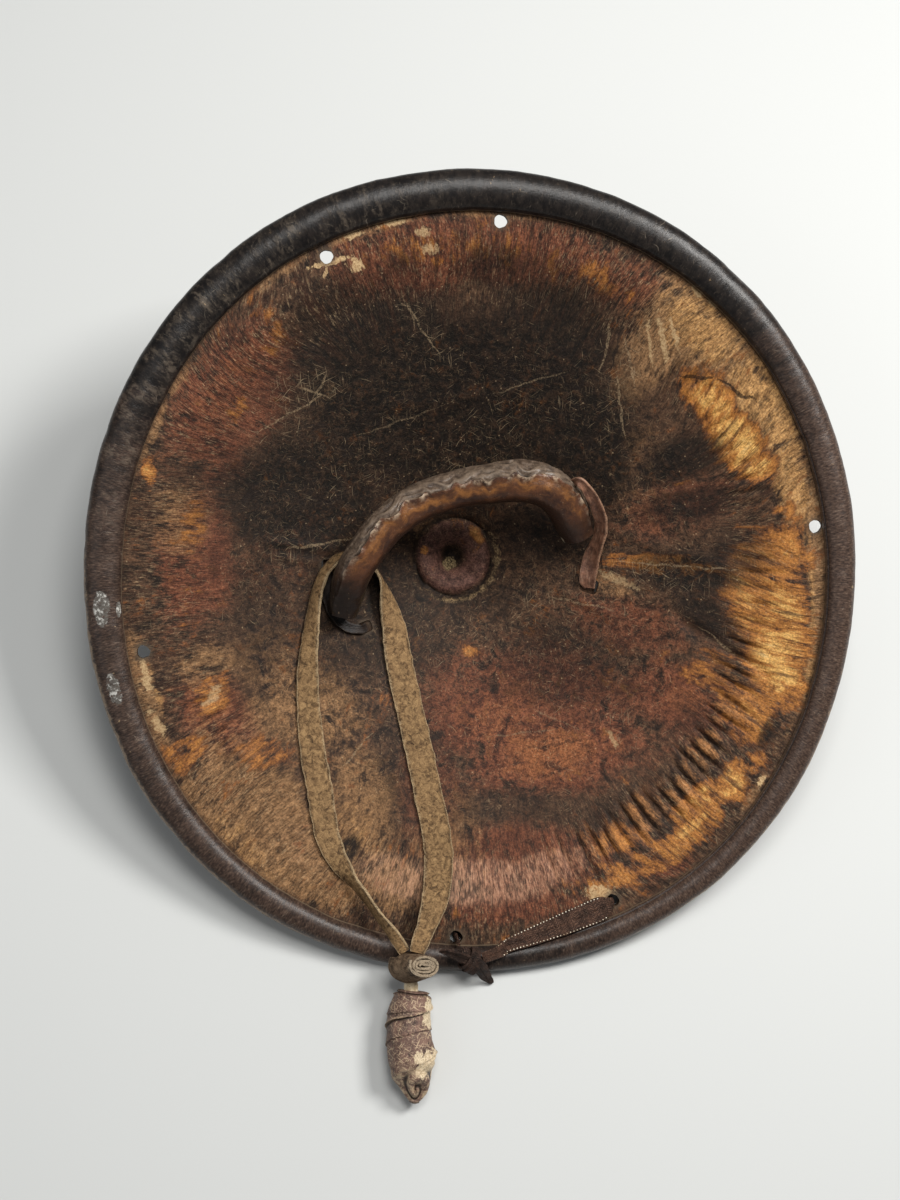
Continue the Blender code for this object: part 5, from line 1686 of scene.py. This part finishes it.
def wound_finish():
    mix = Finish("wound_rawhide", IOR=1.5, Specular_IOR_Level=0.35)
    blotch, flakes = mix.cloud(12, 6, 0.68), mix.cloud(4.5, 7, 0.72)
    fine = mix.cloud(1.3, 5, 0.72)
    peel = mix.most(mix.fibres(7, 1.0, 28, 5), mix.fibres(6, 0.9, 118, 5))
    mix.ground = mix.shaded((0.060, 0.032, 0.026), (0.205, 0.116, 0.086), blotch, 0.32, 0.66)
    mix.lay((0.50, 0.37, 0.25), mix.step(fine, 0.52, 0.64), 0.6)
    mix.lay((0.026, 0.014, 0.011), mix.step(flakes, 0.45, 0.34), 0.8)
    mix.lay((0.56, 0.42, 0.27), mix.step(peel, 0.60, 0.66), mix.step(blotch, 0.36, 0.56), 0.85)
    mix.lay((0.48, 0.35, 0.23), mix.painted("edge"), mix.step(flakes, 0.40, 0.54), 0.85)
    # painted shade under the edge of each lap and in the groove of the collar
    mix.lay((0.016, 0.010, 0.008), mix.painted("gap"), 0.85)
    mix.lay((0.020, 0.012, 0.010), mix.painted("collar"), 0.8)
    bare = mix.step(mix.frayed("patch", flakes, 3.2), 0.46, 0.58)
    cream = mix.shaded((0.40, 0.29, 0.17), (0.74, 0.61, 0.42), fine, 0.34, 0.60)
    mix.lay(cream, bare)
    tip = mix.times(mix.painted("folded"), mix.step(flakes, 0.46, 0.58))
    mix.lay((0.52, 0.39, 0.25), tip, 0.8)
    # painted shade in the grooves of the folded tip
    cleft = mix.frayed("cleft", flakes, 0.8)
    mix.lay((0.018, 0.010, 0.008), mix.step(cleft, 0.45, 0.95), 0.92)
    dull = mix.graded(blotch, 0.25, 0.40)
    normal = mix.raised(fine, 0.30)
    return mix.finish(dull, mix.raised(flakes, 1.0, mix.raised(peel, 0.3, normal)))


dress(neck, rawhide_finish(), "rawhide_core", "toggle_neck")
dress(toggle, wound_finish(), "wound_rawhide", "toggle")

# %% [markdown]
# ## The tie
#
# A braided tape is threaded through two lacing holes and knotted over the bead. It is a flat
# strip with a line of cream stitches along each edge. The stitches are small beads of real
# form, because they catch the light as dots.

# %% The tape
TIE_ROUTE = [(6, -269, 9.5, 8, 30), (18, -265, 11.0, 9, 32), (34, -259.5, 9.0, 12, 34),
             (54, -253, 6.8, 15, 30), (76, -245, 5.0, 17, 22), (92, -238.5, 4.2, 17, 12),
             (99.5, -235.2, 2.0, 9, 0), (100.8, -234.4, -3.0, 5, 0), (100.3, -234.6, -8.2, 5, 0),
             (90, -236.8, -9.0, 7, 0), (60, -243, -8.4, 9, 0), (20, -252, -8.4, 9, 0),
             (-2, -256.8, -9.0, 7, 0), (-11.5, -259, -8.2, 5, 0), (-12.3, -259, -3.0, 5, 0),
             (-12.2, -259, 4.0, 5, 0), (-11, -260.5, 10, 5, 0)]
TAPE = 2.4


def tie_line(samples):
    x, y, lift, width, lean = curve_through(TIE_ROUTE, samples).T
    lean = np.radians(lean)[:, None]
    places = flat_points(x, y, inner_height(x, y) + lift)
    (right_x, right_y), (left_x, left_y) = TIED_HOLES
    side = unit(np.array([right_y - left_y, left_x - right_x, 0.0]))
    return places, -(side * np.cos(lean) + UP * np.sin(lean)), width


tape_section = flat_section(19)
tape_section[:, 2] *= 1 - 0.60 * np.exp(-(tape_section[:, 0] / 0.09) ** 2)
tie = make_ribbon("rim_tie_dressed", *tie_line(360), TAPE, tape_section, cup=-0.5, seed=160, wander=0.05,
                  rough=0.4)


# %% Stitches
def bead_piece(name, places, along, size, across=8):
    """A row of small beads, each drawn out along the row."""
    turn = whole_turn(across)
    points, faces = [], []
    for place, way in zip(places, along):
        side = unit(np.cross(way, [0.3, 0.2, 1.0]))
        up = np.cross(side, way)
        start = len(points)
        for level in (-0.75, -0.25, 0.25, 0.75):
            reach = size * math.sqrt(1 - level * level)
            points += list(place + way * size * 1.2 * level + reach * (side * np.cos(turn)[:, None]
                                                                        + up * np.sin(turn)[:, None]))
        for row in range(3):
            low = start + row * across
            faces += [(low + k, low + (k + 1) % across, low + across + (k + 1) % across, low + across + k)
                      for k in range(across)]
        faces += [tuple(range(start + across - 1, start - 1, -1)),
                  tuple(range(start + 3 * across, start + 4 * across))]
    mesh = bpy.data.meshes.new(name)
    mesh.from_pydata((np.array(points) * MM).tolist(), [], faces)
    return place_piece(name, mesh, raw, 50)


def stitch_rows(pitch=2.5, first=14, last=97):
    """Places of the stitches along both edges of the tape."""
    places, sides, widths = tie_line(1500)
    along, run = headings(places), lengths(places)
    side, up = square_to(along, sides)
    picks = np.searchsorted(run, np.arange(first, last, pitch))
    rows, ways = [], []
    for edge in (-1, 1):
        out = edge * (widths[picks] / 2 - 0.9)[:, None]
        wavy = 0.2 * rumple(flat_points(run[picks], 20 * edge), 6, 168)[:, None]
        lift = up[picks] * (TAPE / 2 - 0.25)
        rows.append(places[picks] + side[picks] * (out + wavy) + lift)
        ways.append(along[picks])
    return np.concatenate(rows), np.concatenate(ways)


stitch_places, stitch_ways = stitch_rows()
stitches = bead_piece("tie_stitches", stitch_places, stitch_ways, 0.46)
print("stitches:", len(stitch_places))

# %% The knot of the tape
KNOT_ROWS = [(-12, -267, 3.0, 4.5), (-7, -269, 5.4, 6.4), (-1, -272, 6.2, 6.6), (5, -274, 4.0, 4.5),
             (8, -277, 1.5, 2.5)]
LEFT_END = [(-2, -270, 11.0, 8), (-10, -267, 12.5, 8), (-18, -264, 11.5, 6), (-25, -262.5, 10.5, 2)]
TAIL = [(-4, -268, 12.0, 9), (2, -273, 11.0, 10), (6, -280, 5.0, 9), (9, -286, -2.5, 8),
        (13, -292, -8.0, 4)]
WRAP_ROUND = unit(np.array([0.80, -0.45, -0.2]))


def lumpy(share, turn):
    place = round_axis(6, turn, 34 * share)
    within = float(ease(0.05, 0.2, share) - ease(0.6, 0.8, share))
    bands = 0.12 * np.sin(16 * share + 1.2 * np.cos(turn)) * within
    flat = 1 / np.hypot(np.cos(turn), np.sin(turn) / 0.8)
    return flat * (1 + bands + 0.12 * rumple(place, 5, 170) + 0.05 * rumple(place, 1.8, 171, 1))


def short_ribbon(name, rows, lean, samples=70, **more):
    """A ribbon through places given as x, y, height over the crest and width."""
    x, y, height, width = curve_through(rows, samples).T
    places = flat_points(x, y, CREST + height)
    flat = unit(np.cross(headings(places), UP))
    sides = flat * math.cos(math.radians(lean)) + UP * math.sin(math.radians(lean))
    return make_ribbon(name, places, sides, width, 1.8, tape_section, **more)


def wrap_rows(samples=120, turns=1.35):
    """A ribbon wound once and a bit round the knot."""
    turn = np.linspace(-0.6, 2 * math.pi * turns, samples)
    side = unit(np.cross(WRAP_ROUND, UP))
    up = np.cross(side, WRAP_ROUND)
    middle = np.array([-2.0, -271.5, CREST + 6.2]) + WRAP_ROUND * (1.6 * turn / math.pi - 2.2)[:, None]
    reach = 7.4 + 0.6 * turn / 6
    spoke = side * (reach * np.cos(turn))[:, None] + up * (0.80 * reach * np.sin(turn))[:, None]
    return middle + spoke, np.tile(WRAP_ROUND, (samples, 1)), np.full(samples, 7.5), 1.8


rows = curve_through(KNOT_ROWS, 110)
tie_knot = [skin("rim_tie_knot_dressed", round_rings(rows[:, :3] + [0, 0, CREST], rows[:, 3], 64, lumpy),
                 raw, along=lengths(rows[:, :3]))]
wrap_places, wrap_sides, wrap_widths, wrap_thick = wrap_rows()
tie_knot.append(make_ribbon("rim_tie_wrap", wrap_places, wrap_sides, wrap_widths, wrap_thick, tape_section,
                            cup=-0.4, seed=175, wander=0.06, rough=0.5))
tie_knot.append(short_ribbon("rim_tie_left_end", LEFT_END, 25, cup=-0.5, seed=180, wander=0.12, rough=0.5))
tie_knot.append(short_ribbon("rim_tie_tail", TAIL, -20, cup=0.6, seed=185, wander=0.30, rough=0.7))


# %% Mix the finishes of the tape
def tape_finish(name, low, high, hair):
    mix = Finish(name, Specular_IOR_Level=0.22)
    lay = mix.add("UVMap", uv_map="lay").outputs[0]
    length, round_it, _ = mix.add("SeparateXYZ", [("Vector", mix.wander(lay, 4, 0.8))]).outputs
    slant = mix.calc("ABSOLUTE", mix.calc("SUBTRACT", round_it, 0.23))
    phase = mix.calc("MULTIPLY", mix.graded(slant, 30.0, length), 2 * math.pi / 1.9)
    ribs = mix.calc("SINE", phase)
    blotch, fine = mix.cloud(6, 5, 0.65), mix.cloud(0.8, 4, 0.7)
    mix.ground = mix.shaded(low, high, blotch, 0.34, 0.66)
    mix.lay(hair, mix.step(fine, 0.48, 0.64), mix.step(ribs, -0.2, 0.9), 0.6)
    # painted shade in the troughs between the ribs
    mix.lay((0.012, 0.008, 0.007), mix.step(ribs, 0.0, -0.9), 0.65)
    dull = mix.graded(blotch, 0.2, 0.60)
    normal = mix.raised(ribs, 0.22)
    return mix.finish(dull, mix.raised(fine, 0.35, normal))


def thread_finish():
    mix = Finish("cream_thread", Specular_IOR_Level=0.3)
    soiled, fine = mix.cloud(7, 4, 0.6), mix.cloud(0.6, 2)
    mix.ground = mix.shaded((0.30, 0.22, 0.14), (0.80, 0.72, 0.58), soiled, 0.36, 0.58)
    return mix.finish(mix.graded(soiled, 0.2, 0.55), mix.raised(fine, 0.08))


woven = tape_finish("woven_tape", (0.032, 0.016, 0.011), (0.115, 0.058, 0.037), (0.24, 0.15, 0.10))
knotted = tape_finish("knotted_tape", (0.018, 0.011, 0.009), (0.070, 0.038, 0.027), (0.17, 0.105, 0.075))
dress(tie, woven, "woven_tape", "rim_tie")
dress(stitches, thread_finish(), "woven_tape", "rim_tie")
for piece in tie_knot:
    dress(piece, knotted, "woven_tape", "rim_tie_knot")
